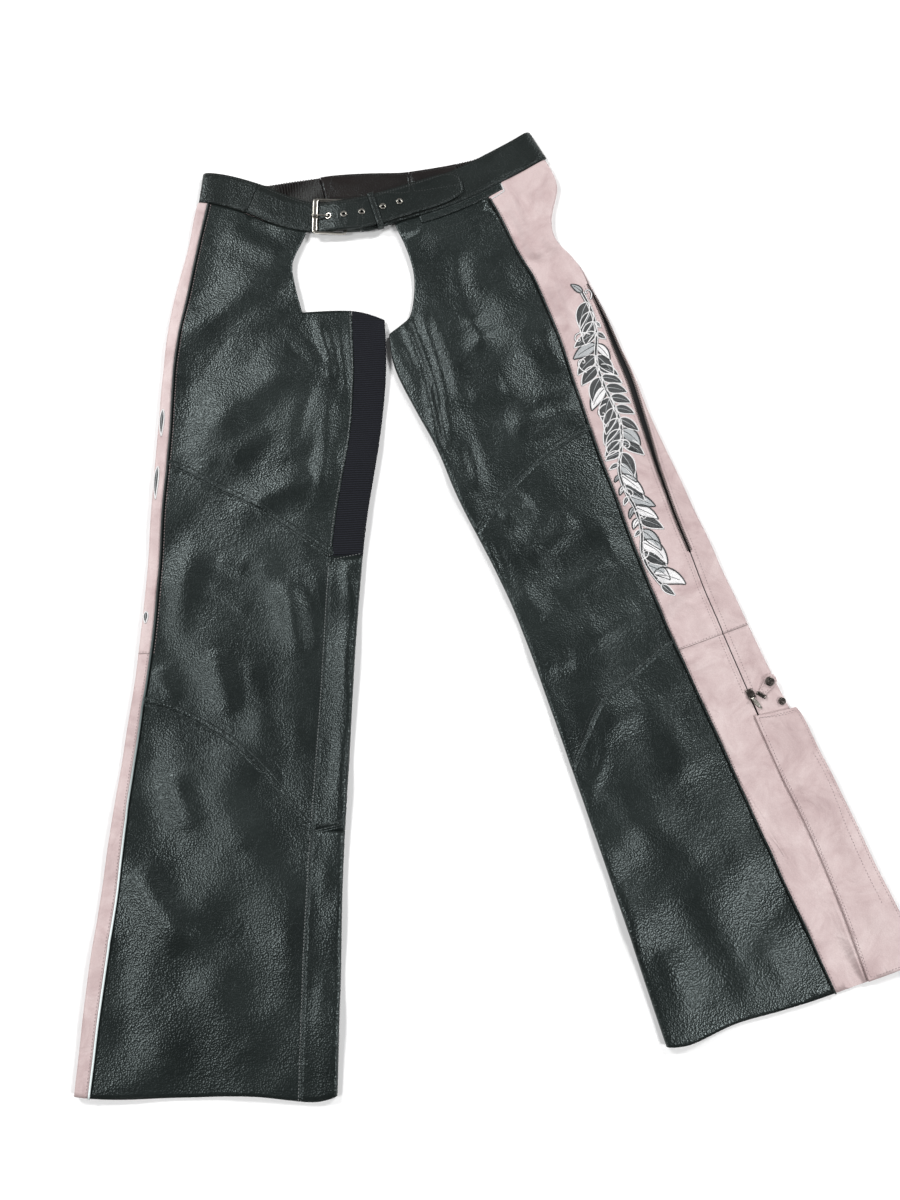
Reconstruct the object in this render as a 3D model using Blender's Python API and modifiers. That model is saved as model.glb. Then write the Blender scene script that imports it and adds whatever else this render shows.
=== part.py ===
"""Leather riding chaps laid flat on a surface, front side up.

Axes: X runs across the garment, Y runs up from the hems to the belt, Z is up.
The garment rests on Z = 0 and the origin is under the middle of it.
Right and left are the wearer's: the right leg lies on the -X side.
"""
import bisect
import functools
import math

import bmesh
import bpy
import numpy as np
from mathutils import Matrix, Vector

# Driving dimensions, in metres.
LEATHER = 0.0014          # one layer of leather
BELT_LEATHER = 0.0030     # belt, two layers sewn together
SEAM_GAP = 0.00035        # between two pieces that are sewn edge to edge
LAY_HEIGHT = 0.0048       # top face of an upper panel that lies on the one below
FOLD_RADIUS = 0.0043      # outside radius of the leather where a leg folds over
FOLD_BLEND = 0.032        # how far a fold lifts the panel beside it
PIPING_RADIUS = 0.0013
TAPE_WIDTH = 0.016        # what shows and overlaps of the zip's tape
TAPE_THICKNESS = 0.0008
BACK_STRIP = 0.045        # width of the coloured strip behind the zip
STRETCH_END = 0.445       # where the ribbed stretch panel stops, down the leg
SHIFT = Vector((-0.0585, -0.2400, 0.0))   # brings the middle of the garment to the origin

# A leg is drawn in its own plane: down the leg from the hip, and across it, plus is outward.
# outer, inner and piping are positions across; zip is measured round the leg from its outer
# fold, plus on the upper side; inseam likewise from the inner fold, plus on the upper side;
# zip_gap is how far the two sides of the zip stand apart.
STATION_COLUMNS = ("down", "outer", "inner", "piping", "zip", "inseam", "zip_gap")
RIGHT_STATIONS = (
    (-0.020, 0.067, -0.169, 0.053, -0.045, 0.042, 0.0020),
    (0.000, 0.071, -0.169, 0.056, -0.045, 0.042, 0.0020),
    (0.045, 0.077, -0.169, 0.0635, -0.045, 0.042, 0.0020),
    (0.100, 0.087, -0.169, 0.071, -0.045, 0.042, 0.0020),
    (0.140, 0.094, -0.168, 0.077, -0.045, 0.042, 0.0020),
    (0.200, 0.0985, -0.1715, 0.084, -0.045, 0.042, 0.0025),
    (0.300, 0.1015, -0.165, 0.0855, -0.045, 0.039, 0.0025),
    (0.400, 0.103, -0.151, 0.088, -0.045, 0.040, 0.0025),
    (0.500, 0.104, -0.1435, 0.0885, -0.045, 0.038, 0.0020),
    (0.600, 0.110, -0.139, 0.0945, -0.045, 0.037, 0.0020),
    (0.700, 0.120, -0.1355, 0.105, -0.045, 0.038, 0.0020),
    (0.800, 0.129, -0.132, 0.1105, -0.046, 0.039, 0.0020),
    (0.900, 0.138, -0.132, 0.1195, -0.048, 0.041, 0.0020),
    (1.030, 0.145, -0.131, 0.1275, -0.050, 0.041, 0.0020),
)
LEFT_STATIONS = (
    (-0.030, 0.110, -0.150, 0.020, -0.010, -0.022, 0.0030),
    (0.000, 0.114, -0.150, 0.025, -0.010, -0.022, 0.0030),
    (0.012, 0.116, -0.150, 0.0265, -0.010, -0.022, 0.0030),
    (0.030, 0.104, -0.150, 0.029, -0.008, -0.022, 0.0030),
    (0.066, 0.084, -0.150, 0.0315, -0.006, -0.022, 0.0030),
    (0.085, 0.083, -0.150, 0.032, -0.004, -0.022, 0.0030),
    (0.118, 0.098, -0.151, 0.038, 0.000, -0.022, 0.0030),
    (0.150, 0.1005, -0.159, 0.0395, 0.0040, -0.022, 0.0030),
    (0.173, 0.1025, -0.1645, 0.0395, 0.0055, -0.022, 0.0036),
    (0.200, 0.104, -0.1615, 0.0395, 0.0070, -0.022, 0.0045),
    (0.250, 0.1065, -0.155, 0.0365, 0.0100, -0.022, 0.0062),
    (0.300, 0.1065, -0.148, 0.033, 0.0115, -0.022, 0.0065),
    (0.350, 0.1055, -0.148, 0.0305, 0.0150, -0.022, 0.0058),
    (0.400, 0.1075, -0.142, 0.029, 0.0220, -0.022, 0.0034),
    (0.500, 0.111, -0.1325, 0.0255, 0.0290, -0.022, 0.0022),
    (0.600, 0.114, -0.133, 0.026, 0.0335, -0.022, 0.0020),
    (0.690, 0.118, -0.1355, 0.030, 0.0370, -0.022, 0.0020),
    (0.770, 0.125, -0.138, 0.0325, 0.0430, -0.022, 0.0008),
    (0.875, 0.131, -0.142, 0.0365, 0.0440, -0.022, 0.0008),
    (1.015, 0.142, -0.148, 0.0425, 0.0600, -0.022, 0.0008),
)

# Cuts across a leg. Columns: across, down.
RIGHT_CUTS = {
    "crotch": ((-0.169, 0.148), (-0.146, 0.139), (-0.126, 0.136), (-0.067, 0.138)),
    "knee_top": ((-0.109, 0.446), (-0.066, 0.416), (-0.029, 0.391), (0.027, 0.362),
                 (0.073, 0.338), (0.083, 0.333)),
    "knee_bottom": ((-0.093, 0.756), (-0.065, 0.720), (-0.040, 0.692), (-0.014, 0.667),
                    (0.022, 0.644), (0.057, 0.626), (0.092, 0.615)),
    "hem": ((-0.131, 1.024), (-0.112, 1.030), (-0.085, 1.029), (-0.055, 1.025),
            (0.024, 1.026), (0.128, 1.026), (0.145, 1.024)),
}
LEFT_CUTS = {
    "crotch": ((-0.155, 0.133), (-0.122, 0.121)),
    "knee_top": ((-0.134, 0.403), (-0.109, 0.380), (-0.078, 0.364), (-0.040, 0.347),
                 (-0.004, 0.335), (0.028, 0.329)),
    "knee_bottom": ((-0.135, 0.696), (-0.115, 0.677), (-0.094, 0.652), (-0.065, 0.631),
                    (-0.047, 0.627), (-0.020, 0.616), (0.023, 0.601)),
    "hem": ((-0.148, 0.996), (-0.133, 1.001), (-0.074, 1.000), (-0.021, 1.005),
            (0.044, 1.009), (0.149, 1.010)),
}
# The front's edge beside the crotch opening. Columns: down, across.
RIGHT_OPENING = ((0.000, -0.066), (0.030, -0.069), (0.050, -0.061), (0.074, -0.052),
                 (0.093, -0.055), (0.138, -0.067))
LEFT_OPENING = ((-0.010, -0.099), (0.036, -0.096), (0.070, -0.099), (0.106, -0.114),
                (0.121, -0.122))

# Places down each leg, and how far the pieces beside them reach.
SIDE_SPLIT = {"right": 0.560, "left": 0.612}    # cross seam of the coloured strips
BACK_SPLIT = {"right": 0.755, "left": 0.740}    # cross seam of the leg's back
ZIP_START = {"right": 0.020, "left": 0.030}
ZIP_END = {"right": 1.000, "left": 0.700}
TAPE_CLEARANCE = 0.0008                         # between the strips and the tape under them
PIPING_START = {"right": 0.001, "left": 0.0135}
SEAT_INSET = {"right": 0.010, "left": 0.115}    # back of the opening, outward of the front's
HIP_ROWS = [0.014, 0.030, 0.048, 0.066, 0.085, 0.101, 0.118]

# Soft folds of the upper leather. Columns: down and across of one end, down and across of
# the other, height, half width.
RIGHT_FOLDS = (
    (0.170, -0.105, 0.330, -0.052, 0.0038, 0.020),
    (0.150, 0.010, 0.300, 0.030, 0.0030, 0.026),
    (0.100, -0.060, 0.215, -0.010, 0.0026, 0.018),
    (0.360, 0.045, 0.480, -0.030, 0.0024, 0.022),
    (0.430, -0.085, 0.600, -0.070, 0.0034, 0.020),
    (0.520, 0.050, 0.610, 0.010, 0.0030, 0.024),
    (0.660, -0.020, 0.860, 0.020, 0.0032, 0.028),
    (0.780, -0.085, 0.980, -0.080, 0.0026, 0.018),
    (0.820, 0.070, 0.990, 0.060, 0.0024, 0.024),
)
LEFT_FOLDS = (
    (0.150, -0.135, 0.275, -0.118, 0.0042, 0.012),
    (0.120, -0.060, 0.290, -0.030, 0.0030, 0.026),
    (0.190, -0.095, 0.330, -0.080, 0.0026, 0.018),
    (0.330, -0.060, 0.420, -0.010, 0.0026, 0.022),
    (0.410, -0.105, 0.560, -0.090, 0.0036, 0.018),
    (0.480, -0.020, 0.590, -0.060, 0.0028, 0.024),
    (0.640, -0.085, 0.800, -0.060, 0.0032, 0.026),
    (0.700, 0.000, 0.900, -0.020, 0.0030, 0.026),
    (0.850, -0.115, 0.980, -0.115, 0.0024, 0.016),
)

# Middle lines of the belt pieces. Columns: x, y, z of the middle of the leather, width.
BELT_RIGHT_SIDE = (
    (-0.2620, 0.7240, 0.0015, 0.036), (-0.2700, 0.7253, 0.0015, 0.036),
    (-0.2960, 0.7270, 0.0015, 0.038),
    (-0.3085, 0.7300, 0.0016, 0.040), (-0.3115, 0.7302, 0.0027, 0.040),
    (-0.3128, 0.7304, 0.0047, 0.040), (-0.3115, 0.7302, 0.0067, 0.040),
    (-0.3075, 0.7298, 0.0079, 0.041), (-0.2950, 0.7290, 0.0070, 0.042),
    (-0.2820, 0.7275, 0.0054, 0.042), (-0.2640, 0.7225, 0.0050, 0.042),
    (-0.2483, 0.7170, 0.0050, 0.042),
)
BELT_TONGUE = (
    (-0.2477, 0.7168, 0.0050, 0.042), (-0.2440, 0.7155, 0.0050, 0.042),
    (-0.2300, 0.7085, 0.0050, 0.042),
    (-0.2080, 0.6990, 0.0050, 0.042), (-0.1890, 0.6930, 0.0050, 0.041),
    (-0.1760, 0.6905, 0.0051, 0.040), (-0.1660, 0.6898, 0.0053, 0.040),
    (-0.1600, 0.6893, 0.0063, 0.040), (-0.1530, 0.6890, 0.0084, 0.040),
    (-0.1460, 0.6890, 0.0104, 0.040), (-0.1385, 0.6893, 0.0117, 0.040),
    (-0.1290, 0.6899, 0.0121, 0.040), (-0.1180, 0.6915, 0.0116, 0.041),
    (-0.1050, 0.6950, 0.0107, 0.041), (-0.0930, 0.6985, 0.0101, 0.041),
    (-0.0780, 0.7035, 0.0099, 0.041), (-0.0580, 0.7105, 0.0095, 0.041),
    (-0.0350, 0.7185, 0.0090, 0.041), (-0.0150, 0.7258, 0.0086, 0.041),
    (0.0030, 0.7330, 0.0085, 0.036), (0.0110, 0.7363, 0.0085, 0.026),
    (0.0145, 0.7377, 0.0085, 0.012),
)
BELT_LEFT_FRONT = (
    (-0.1110, 0.6900, 0.0067, 0.038), (-0.1060, 0.6901, 0.0067, 0.039),
    (-0.1000, 0.6921, 0.0067, 0.040), (-0.0925, 0.6955, 0.0067, 0.041),
    (-0.0750, 0.7030, 0.0064, 0.042), (-0.0550, 0.7095, 0.0060, 0.042),
    (-0.0350, 0.7165, 0.0055, 0.043), (-0.0150, 0.7240, 0.0051, 0.043),
    (0.0100, 0.7350, 0.0050, 0.043), (0.0310, 0.7455, 0.0050, 0.043),
    (0.0580, 0.7610, 0.0050, 0.043), (0.0830, 0.7755, 0.0052, 0.043),
    (0.0960, 0.7828, 0.0066, 0.043), (0.1040, 0.7874, 0.0079, 0.043),
    (0.1085, 0.7900, 0.0072, 0.043), (0.1110, 0.7913, 0.0047, 0.042),
    (0.1085, 0.7900, 0.0022, 0.041), (0.1035, 0.7870, 0.0015, 0.040),
    (0.0900, 0.7790, 0.0015, 0.038), (0.0750, 0.7723, 0.0015, 0.037),
)
BACK_BELT = (
    (-0.2614, 0.7238, 0.0015, 0.036), (-0.2310, 0.7185, 0.0015, 0.036),
    (-0.2000, 0.7240, 0.0015, 0.036), (-0.1620, 0.7300, 0.0015, 0.036),
    (-0.1500, 0.7330, 0.0015, 0.036), (-0.1050, 0.7365, 0.0015, 0.036),
    (-0.0640, 0.7362, 0.0015, 0.036), (-0.0440, 0.7390, 0.0015, 0.036),
    (0.0040, 0.7475, 0.0015, 0.036), (0.0160, 0.7505, 0.0015, 0.038),
    (0.0340, 0.7550, 0.0015, 0.038), (0.0560, 0.7640, 0.0015, 0.037),
    (0.0744, 0.7722, 0.0015, 0.037),
)
BACK_BELT_PIECES = (
    ("belt_elastic_right", -0.2614, -0.1600, 29),
    ("belt_back_centre", -0.1600, -0.0500, 0),
    ("belt_back_left", -0.0500, 0.0120, 0),
    ("belt_elastic_left", 0.0120, 0.0744, 18),
)
RIB_HEIGHT = 0.0014

# Buckle and belt hardware.
BUCKLE_LENGTH = 0.0435
BUCKLE_HEIGHT = 0.0480
BUCKLE_BARS = {"front": 0.0065, "arm": 0.0026, "heel": 0.0032}
BUCKLE_THICKNESS = 0.0032
BUCKLE_CORNER = 0.0045
BUCKLE_EDGE = 0.0008
BUCKLE_CENTRE = Vector((-0.1500, 0.6898, 0.0079))
BUCKLE_TILT = math.radians(3.3)
PRONG_RADIUS = 0.0011
PRONG_PATH = (
    (-0.1338, 0.6897, 0.0067), (-0.1460, 0.6893, 0.0066), (-0.1500, 0.6892, 0.0073),
    (-0.1512, 0.6891, 0.0088), (-0.1522, 0.6891, 0.0109), (-0.1545, 0.6891, 0.0120),
    (-0.1600, 0.6890, 0.0123), (-0.1720, 0.6888, 0.0123),
)
EYELET_X = (-0.1510, -0.1320, -0.1100, -0.0838, -0.0630)
EYELET_HOLES = (0.0028, 0.0021, 0.0021, 0.0021, 0.0021)
EYELET_RIM = 0.0041
EYELET_THICKNESS = 0.0007
KEEPER_CENTRE = (-0.0930, 0.6973)
KEEPER_TURN = math.radians(17.5)
KEEPER_WIDTH = 0.0075
KEEPER_LEATHER = 0.0014
KEEPER_INSIDE = (0.0232, 0.0049, 0.0119)      # half width, lowest and highest height
LOOP_WIDTH = 0.0380
LOOP_LEATHER = 0.0014
LOOP_END_X = -0.1121

# Side zip hardware on the left leg: places are (down, across).
SLIDER_PLACE = (0.6855, 0.0845)
SLIDER_SIZE = (0.0080, 0.0110, 0.0018)        # across, along, thick
HINGE_PLACE = (0.6905, 0.0838)
HINGE_LIFT = 0.0036                           # of the pull's barrel above the leather
PULL_LENGTH = 0.0160
PULL_WIDTH = 0.0056
PULL_THICKNESS = 0.0012
PULL_BARREL = 0.0011
PULL_LEAN = math.radians(17.0)                # from straight down the leg, outward
PULL_DROP = math.radians(6.0)
EAR_SIZE = (0.0010, 0.0026, 0.0030)
EAR_REACH = 0.0023                            # from the pull's middle to an ear's
CLAMP_PLACE = (0.6907, 0.0950)
CLAMP_SIZE = (0.0040, 0.0115, 0.0026)         # along the tab, across it, thick
TAB_START = (0.6892, 0.0970)
TAB_WAY = (-0.586, 0.810)                     # direction of the snap tab: down, across
TAB_ROWS = ((0.0, 0.0040), (0.006, 0.0048), (0.011, 0.0060), (0.016, 0.0070),
            (0.020, 0.0066), (0.0225, 0.0048), (0.0240, 0.0022))   # along it, half its width
TAB_SNAP = (0.6800, 0.1090)
FLAP_SNAP = (0.7050, 0.1135)
SNAP_PROFILE = ((0.0, 0.0016), (0.0016, 0.0018), (0.0022, 0.0010), (0.0034, 0.0010),
                (0.0042, 0.0019), (0.0052, 0.0015), (0.0055, 0.0006), (0.0053, 0.0), (0.0, 0.0))
SNAP_STEPS = 14

# The loose flap over the lower end of the left leg's zip.
FLAP_OVERLAP = 0.004
FLAP_CLEARANCE = 0.0010
FLAP_DROOP = 0.0016
FLAP_TOP = ((0.078, 0.7095), (0.098, 0.7130), (0.122, 0.7160))     # across, down
FLAP_EDGE = ((0.709, 0.1190), (0.7145, 0.1245), (0.722, 0.1280), (0.732, 0.1298),
             (0.761, 0.1310), (0.803, 0.1335), (0.850, 0.1365), (0.925, 0.1385),
             (0.963, 0.1420), (1.010, 0.1490))                      # down, across
WELT_ENDS = (-0.0660, 0.0470)                 # pocket welt, positions across the left leg
WELT_DEPTH = 0.0105

COLOURS = {
    "black_leather": ((0.014, 0.018, 0.017, 1.0), 0.42, 0.0),
    "pink_leather": ((0.560, 0.430, 0.430, 1.0), 0.55, 0.0),
    "belt_lining": ((0.018, 0.013, 0.013, 1.0), 0.60, 0.0),
    "stretch_rib": ((0.010, 0.011, 0.015, 1.0), 0.75, 0.0),
    "zip_tape": ((0.006, 0.006, 0.007, 1.0), 0.80, 0.0),
    "pewter": ((0.420, 0.400, 0.360, 1.0), 0.32, 1.0),
    "gunmetal": ((0.090, 0.080, 0.075, 1.0), 0.38, 1.0),
}


def clear_scene():
    for old in list(bpy.data.objects):
        bpy.data.objects.remove(old, do_unlink=True)


def material(name):
    if name in bpy.data.materials:
        return bpy.data.materials[name]
    colour, roughness, metallic = COLOURS[name]
    made = bpy.data.materials.new(name)
    made.use_nodes = True
    shader = made.node_tree.nodes["Principled BSDF"]
    shader.inputs["Base Color"].default_value = colour
    shader.inputs["Roughness"].default_value = roughness
    shader.inputs["Metallic"].default_value = metallic
    made.diffuse_color = colour
    return made


def add_mesh(name, vertices, faces, finish, sharp_angle=math.radians(35)):
    """One named object from points and faces, with its faces turned outward."""
    mesh = bpy.data.meshes.new(name)
    mesh.from_pydata([Vector(v) + SHIFT for v in vertices], [], faces)
    bm = bmesh.new()
    bm.from_mesh(mesh)
    if bm.calc_volume(signed=True) < 0:
        bmesh.ops.reverse_faces(bm, faces=bm.faces)
    bm.to_mesh(mesh)
    bm.free()
    mesh.shade_smooth()
    mesh.set_sharp_from_angle(angle=sharp_angle)
    mesh.materials.append(material(finish))
    made = bpy.data.objects.new(name, mesh)
    PARTS.objects.link(made)
    return made


def ease(value):
    """0 to 1 with level ends."""
    value = min(1.0, max(0.0, value))
    return value * value * (3.0 - 2.0 * value)


class Curve:
    """A smooth curve through a table's rows, held level past its ends."""

    def __init__(self, rows, column=1):
        self.places = [row[0] for row in rows]
        self.values = [row[column] for row in rows]
        self.slopes = np.gradient(self.values, self.places).tolist()

    def __call__(self, at):
        places, values, slopes = self.places, self.values, self.slopes
        if at <= places[0]:
            return values[0]
        if at >= places[-1]:
            return values[-1]
        i = bisect.bisect_right(places, at) - 1
        span = places[i + 1] - places[i]
        t = (at - places[i]) / span
        return (
            (2 * t**3 - 3 * t**2 + 1) * values[i] + (t**3 - 2 * t**2 + t) * span * slopes[i]
            + (3 * t**2 - 2 * t**3) * values[i + 1] + (t**3 - t**2) * span * slopes[i + 1]
        )


class Leg:
    """One leg: a flat tube folded at its outer and inner sides."""

    def __init__(self, name, hip, lean, side, stations, cuts, opening, folds):
        self.name = name
        self.hip = hip
        self.lean = lean
        self.side = side
        self.columns = {
            column: Curve(stations, k) for k, column in enumerate(STATION_COLUMNS) if k
        }
        self.cuts = {key: Curve(rows) for key, rows in cuts.items()}
        self.opening_edge = Curve(opening)
        self.corner = opening[-1]
        self.folds = folds
        self.crotch = cuts["crotch"][0][1]
        self.slope = math.cos(lean), math.sin(lean)

    @functools.lru_cache(maxsize=None)
    def at(self, column, down):
        return self.columns[column](down)

    def plan(self, down, across):
        cos, sin = self.slope
        x = self.hip[0] + self.side * (across * cos + down * sin)
        return x, self.hip[1] + across * sin - down * cos

    def inner_radius(self, down):
        closed = ease((down - self.crotch) / 0.060)
        return LAY_HEIGHT / 2 + (FOLD_RADIUS - LAY_HEIGHT / 2) * closed

    def top_height(self, down, across):
        """Height of the upper leather's face where it lies on the lower one."""
        inner_radius = self.inner_radius(down)
        from_outer = self.at("outer", down) - FOLD_RADIUS - across
        from_inner = across - self.at("inner", down) - inner_radius
        height = LAY_HEIGHT
        height += (2 * FOLD_RADIUS - LAY_HEIGHT) * ease(1 - from_outer / FOLD_BLEND)
        height += (2 * inner_radius - LAY_HEIGHT) * ease(1 - from_inner / FOLD_BLEND)
        calm = ease((self.at("piping", down) - across) / 0.022) * ease(from_inner / 0.020)
        for down_1, across_1, down_2, across_2, lift, half_width in self.folds:
            run_down, run_across = down_2 - down_1, across_2 - across_1
            gone_down, gone_across = down - down_1, across - across_1
            share = (gone_down * run_down + gone_across * run_across)
            share = min(1.0, max(0.0, share / (run_down**2 + run_across**2)))
            away = math.hypot(gone_down - share * run_down, gone_across - share * run_across)
            height += calm * lift * math.exp(-(away / half_width) ** 2)
        return height

    @functools.lru_cache(maxsize=None)
    def quarters(self, down):
        inner_radius = self.inner_radius(down)
        outer_arc = math.pi * FOLD_RADIUS / 2
        inner_arc = math.pi * inner_radius / 2
        flat = self.at("outer", down) - self.at("inner", down) - FOLD_RADIUS - inner_radius
        return outer_arc, flat, inner_arc

    def half_girth(self, down):
        return sum(self.quarters(down))

    def round_from(self, down, across):
        """Distance round the leg from its outer fold to a place on the upper side."""
        outer_arc, _, _ = self.quarters(down)
        return outer_arc + self.at("outer", down) - FOLD_RADIUS - across

    def face(self, down, girth):
        """A point of the leather's outer face; girth is measured round from the outer fold."""
        outer_arc, flat, inner_arc = self.quarters(down)
        half = outer_arc + flat + inner_arc
        girth = (girth + half) % (2 * half) - half
        upper = 1.0 if girth >= 0 else -1.0
        far = abs(girth)
        outer = self.at("outer", down)
        if far < outer_arc:
            turn = far / FOLD_RADIUS
            across = outer - FOLD_RADIUS + FOLD_RADIUS * math.cos(turn)
            z = FOLD_RADIUS * (1 + upper * math.sin(turn))
        elif far < outer_arc + flat:
            across = outer - FOLD_RADIUS - (far - outer_arc)
            z = self.top_height(down, across) if upper > 0 else 0.0
        else:
            radius = self.inner_radius(down)
            turn = (half - far) / radius
            across = self.at("inner", down) + radius - radius * math.cos(turn)
            z = radius * (1 + upper * math.sin(turn))
        x, y = self.plan(down, across)
        return Vector((x, y, z))

    def point(self, down, girth, lift=0.0):
        """A point moved out from the leather's face by lift."""
        here = self.face(down, girth)
        if lift == 0.0:
            return here
        step = 0.0004
        round_leg = self.face(down, girth + step) - self.face(down, girth - step)
        along_leg = self.face(down + step, girth) - self.face(down - step, girth)
        normal = round_leg.cross(along_leg).normalized() * self.side
        return here + normal * lift

    def meet(self, column, edge):
        """Where a line down the leg meets an edge drawn across the garment."""
        down = 0.0
        for _ in range(8):
            at = self.face(down, column(down))
            down += (at.y - edge(at.x)) / self.slope[0]
        return down


def spread(columns, counts):
    """Lines down a leg, evenly spaced between the named ones."""
    lines = [columns[0]]
    for first, last, count in zip(columns, columns[1:], counts):
        for k in range(1, count + 1):
            share = k / count
            lines.append(lambda d, a=first, b=last, s=share: a(d) * (1 - s) + b(d) * s)
    return lines


def even(count):
    """Shares of the way down a block, for evenly spaced rows."""
    return [k / count for k in range(count + 1)]


def between(levels, top, bottom):
    """Shares of the way from top to bottom at which the given levels lie."""
    inner = [d for d in sorted(levels) if top + 0.004 < d < bottom - 0.004]
    return [0.0] + [(d - top) / (bottom - top) for d in inner] + [1.0]


def block(lines, top, bottom, shares):
    """A grid of (down, girth) points between two cuts. A cut gets a line and gives its down."""
    grid = []
    for share in shares:
        row = []
        for line in lines:
            down = top(line) * (1 - share) + bottom(line) * share
            row.append((down, line(down)))
        grid.append(row)
    return grid


def downs_on(grids, line_number):
    """How far down the leg each row of the grids crosses one of their lines."""
    return [row[line_number][0] for grid in grids for row in grid]


def cut_line(leg, name, shift=0.0):
    """The cut of this name, followed on to the lower side of the leg at the same level."""
    def down_on(line):
        down = leg.cuts[name].values[0]
        for _ in range(8):
            down = leg.cuts[name](across_of(leg, down, line(down)))
        return down + shift
    return down_on


def across_of(leg, down, girth):
    outer_arc, flat, inner_arc = leg.quarters(down)
    half = outer_arc + flat + inner_arc
    girth = (girth + half) % (2 * half) - half
    across = leg.at("outer", down) - FOLD_RADIUS - (abs(girth) - outer_arc)
    inner = leg.at("inner", down)
    if girth < 0 and across < (inner + leg.at("outer", down)) / 2:
        return inner
    return max(inner, min(leg.at("outer", down), across))


def level(down):
    return lambda line: down


def panel(name, leg, grids, finish, lift=0.0, wall=LEATHER, place=None):
    """A piece of leather laid on the leg: its pattern's grids, welded, with a wall's depth.

    Its grids hold (down, girth), or what the given place function reads with a lift.
    """
    place = place or leg.point
    index, flat, faces = {}, [], []

    def number(spot):
        key = (round(spot[0], 6), round(spot[1], 6))
        if key not in index:
            index[key] = len(flat)
            flat.append(np.array(spot))
        return index[key]

    for grid in grids:
        ids = [[number(spot) for spot in row] for row in grid]
        for upper, lower in zip(ids, ids[1:]):
            for k in range(len(upper) - 1):
                faces.append((upper[k], upper[k + 1], lower[k + 1], lower[k]))
    # An edge that only one face uses is on the outline; the faces run round the same way.
    edges = {}
    for face in faces:
        for k in range(4):
            edges[(face[k], face[(k + 1) % 4])] = True
    outline = {a: b for a, b in edges if (b, a) not in edges}
    before = {b: a for a, b in outline.items()}
    trimmed = [spot.copy() for spot in flat]
    for here, after in outline.items():
        into = flat[here] - flat[before[here]]
        out = flat[after] - flat[here]
        into = into / np.linalg.norm(into)
        out = out / np.linalg.norm(out)
        inward = np.array((into[1] + out[1], -into[0] - out[0]))
        size = np.linalg.norm(inward)
        inward = inward / size
        corner = max(0.35, size / 2)
        trimmed[here] = flat[here] + inward * (SEAM_GAP / 2) / corner
    outside = [place(down, girth, lift) for down, girth in trimmed]
    inside = [place(down, girth, lift - wall) for down, girth in trimmed]
    count = len(flat)
    shell = list(faces)
    shell += [tuple(count + v for v in reversed(face)) for face in faces]
    shell += [(after, here, count + here, count + after) for here, after in outline.items()]
    return add_mesh(name, outside + inside, shell, finish)


def ribbon(name, rows, thickness, finish, pieces_across=2, crown=None):
    """A strip along rows of (x, y, z, width); crown raises its upper face at each row."""
    rows = [tuple(row) for row in rows]
    vertices = []
    width_way = Vector((0, 1, 0))
    for k, (x, y, z, width) in enumerate(rows):
        ahead = Vector(rows[min(k + 1, len(rows) - 1)][:3])
        behind = Vector(rows[max(k - 1, 0)][:3])
        run = (ahead - behind).normalized()
        flat_way = Vector((0, 0, 1)).cross(run)
        if flat_way.length > 0.55:
            flat_way.normalize()
            width_way = flat_way if flat_way.dot(width_way) >= 0 else -flat_way
        normal = run.cross(width_way).normalized()
        if k == 0:
            upward = 1.0 if normal.z >= 0 else -1.0
        normal *= upward
        raised = thickness / 2 + (crown[k] if crown else 0.0)
        for level_out in (-thickness / 2, raised):
            for j in range(pieces_across + 1):
                offset = (j / pieces_across - 0.5) * width
                vertices.append(Vector((x, y, z)) + width_way * offset + normal * level_out)
    ring = 2 * (pieces_across + 1)
    low = list(range(pieces_across + 1))
    high = list(range(ring - 1, pieces_across, -1))
    loop = low + high
    faces = []
    for k in range(len(rows) - 1):
        for j in range(ring):
            a, b = loop[j], loop[(j + 1) % ring]
            faces.append((k * ring + a, k * ring + b, (k + 1) * ring + b, (k + 1) * ring + a))
    for k, flip in ((0, True), (len(rows) - 1, False)):
        for j in range(pieces_across):
            cap = [low[j], low[j + 1], low[j + 1] + pieces_across + 1, low[j] + pieces_across + 1]
            faces.append(tuple(k * ring + v for v in (reversed(cap) if flip else cap)))
    return add_mesh(name, vertices, faces, finish)


def path_row(rows, x):
    """The row of a belt's table at x, between its listed ones."""
    table = np.array(rows)
    return (x,) + tuple(float(np.interp(x, table[:, 0], table[:, k])) for k in (1, 2, 3))


def lower_edge(rows):
    """Height up the garment of a belt's lower edge, as a function of x."""
    table = np.array(rows)
    runs = np.gradient(table[:, :2], axis=0)
    runs /= np.linalg.norm(runs, axis=1)[:, None]
    edge_x = table[:, 0] + runs[:, 1] * table[:, 3] / 2
    edge_y = table[:, 1] - runs[:, 0] * table[:, 3] / 2
    return lambda x: float(np.interp(x, edge_x, edge_y)) - SEAM_GAP


def round_bar(name, points, radius, finish, sides=8):
    """A bar of round section along points, with flat ends."""
    points = [Vector(p) for p in points]
    vertices, faces = [], []
    side_way = None
    for k, here in enumerate(points):
        run = (points[min(k + 1, len(points) - 1)] - points[max(k - 1, 0)]).normalized()
        if side_way is None:
            side_way = run.cross(Vector((0, 0, 1)))
        side_way = (side_way - run * side_way.dot(run)).normalized()
        up_way = run.cross(side_way)
        for j in range(sides):
            turn = 2 * math.pi * j / sides
            vertices.append(here + radius * (math.cos(turn) * side_way + math.sin(turn) * up_way))
    for k in range(len(points) - 1):
        for j in range(sides):
            a, b = k * sides + j, k * sides + (j + 1) % sides
            faces.append((a, b, b + sides, a + sides))
    faces.append(tuple(range(sides - 1, -1, -1)))
    faces.append(tuple((len(points) - 1) * sides + j for j in range(sides)))
    return add_mesh(name, vertices, faces, finish)


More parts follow.
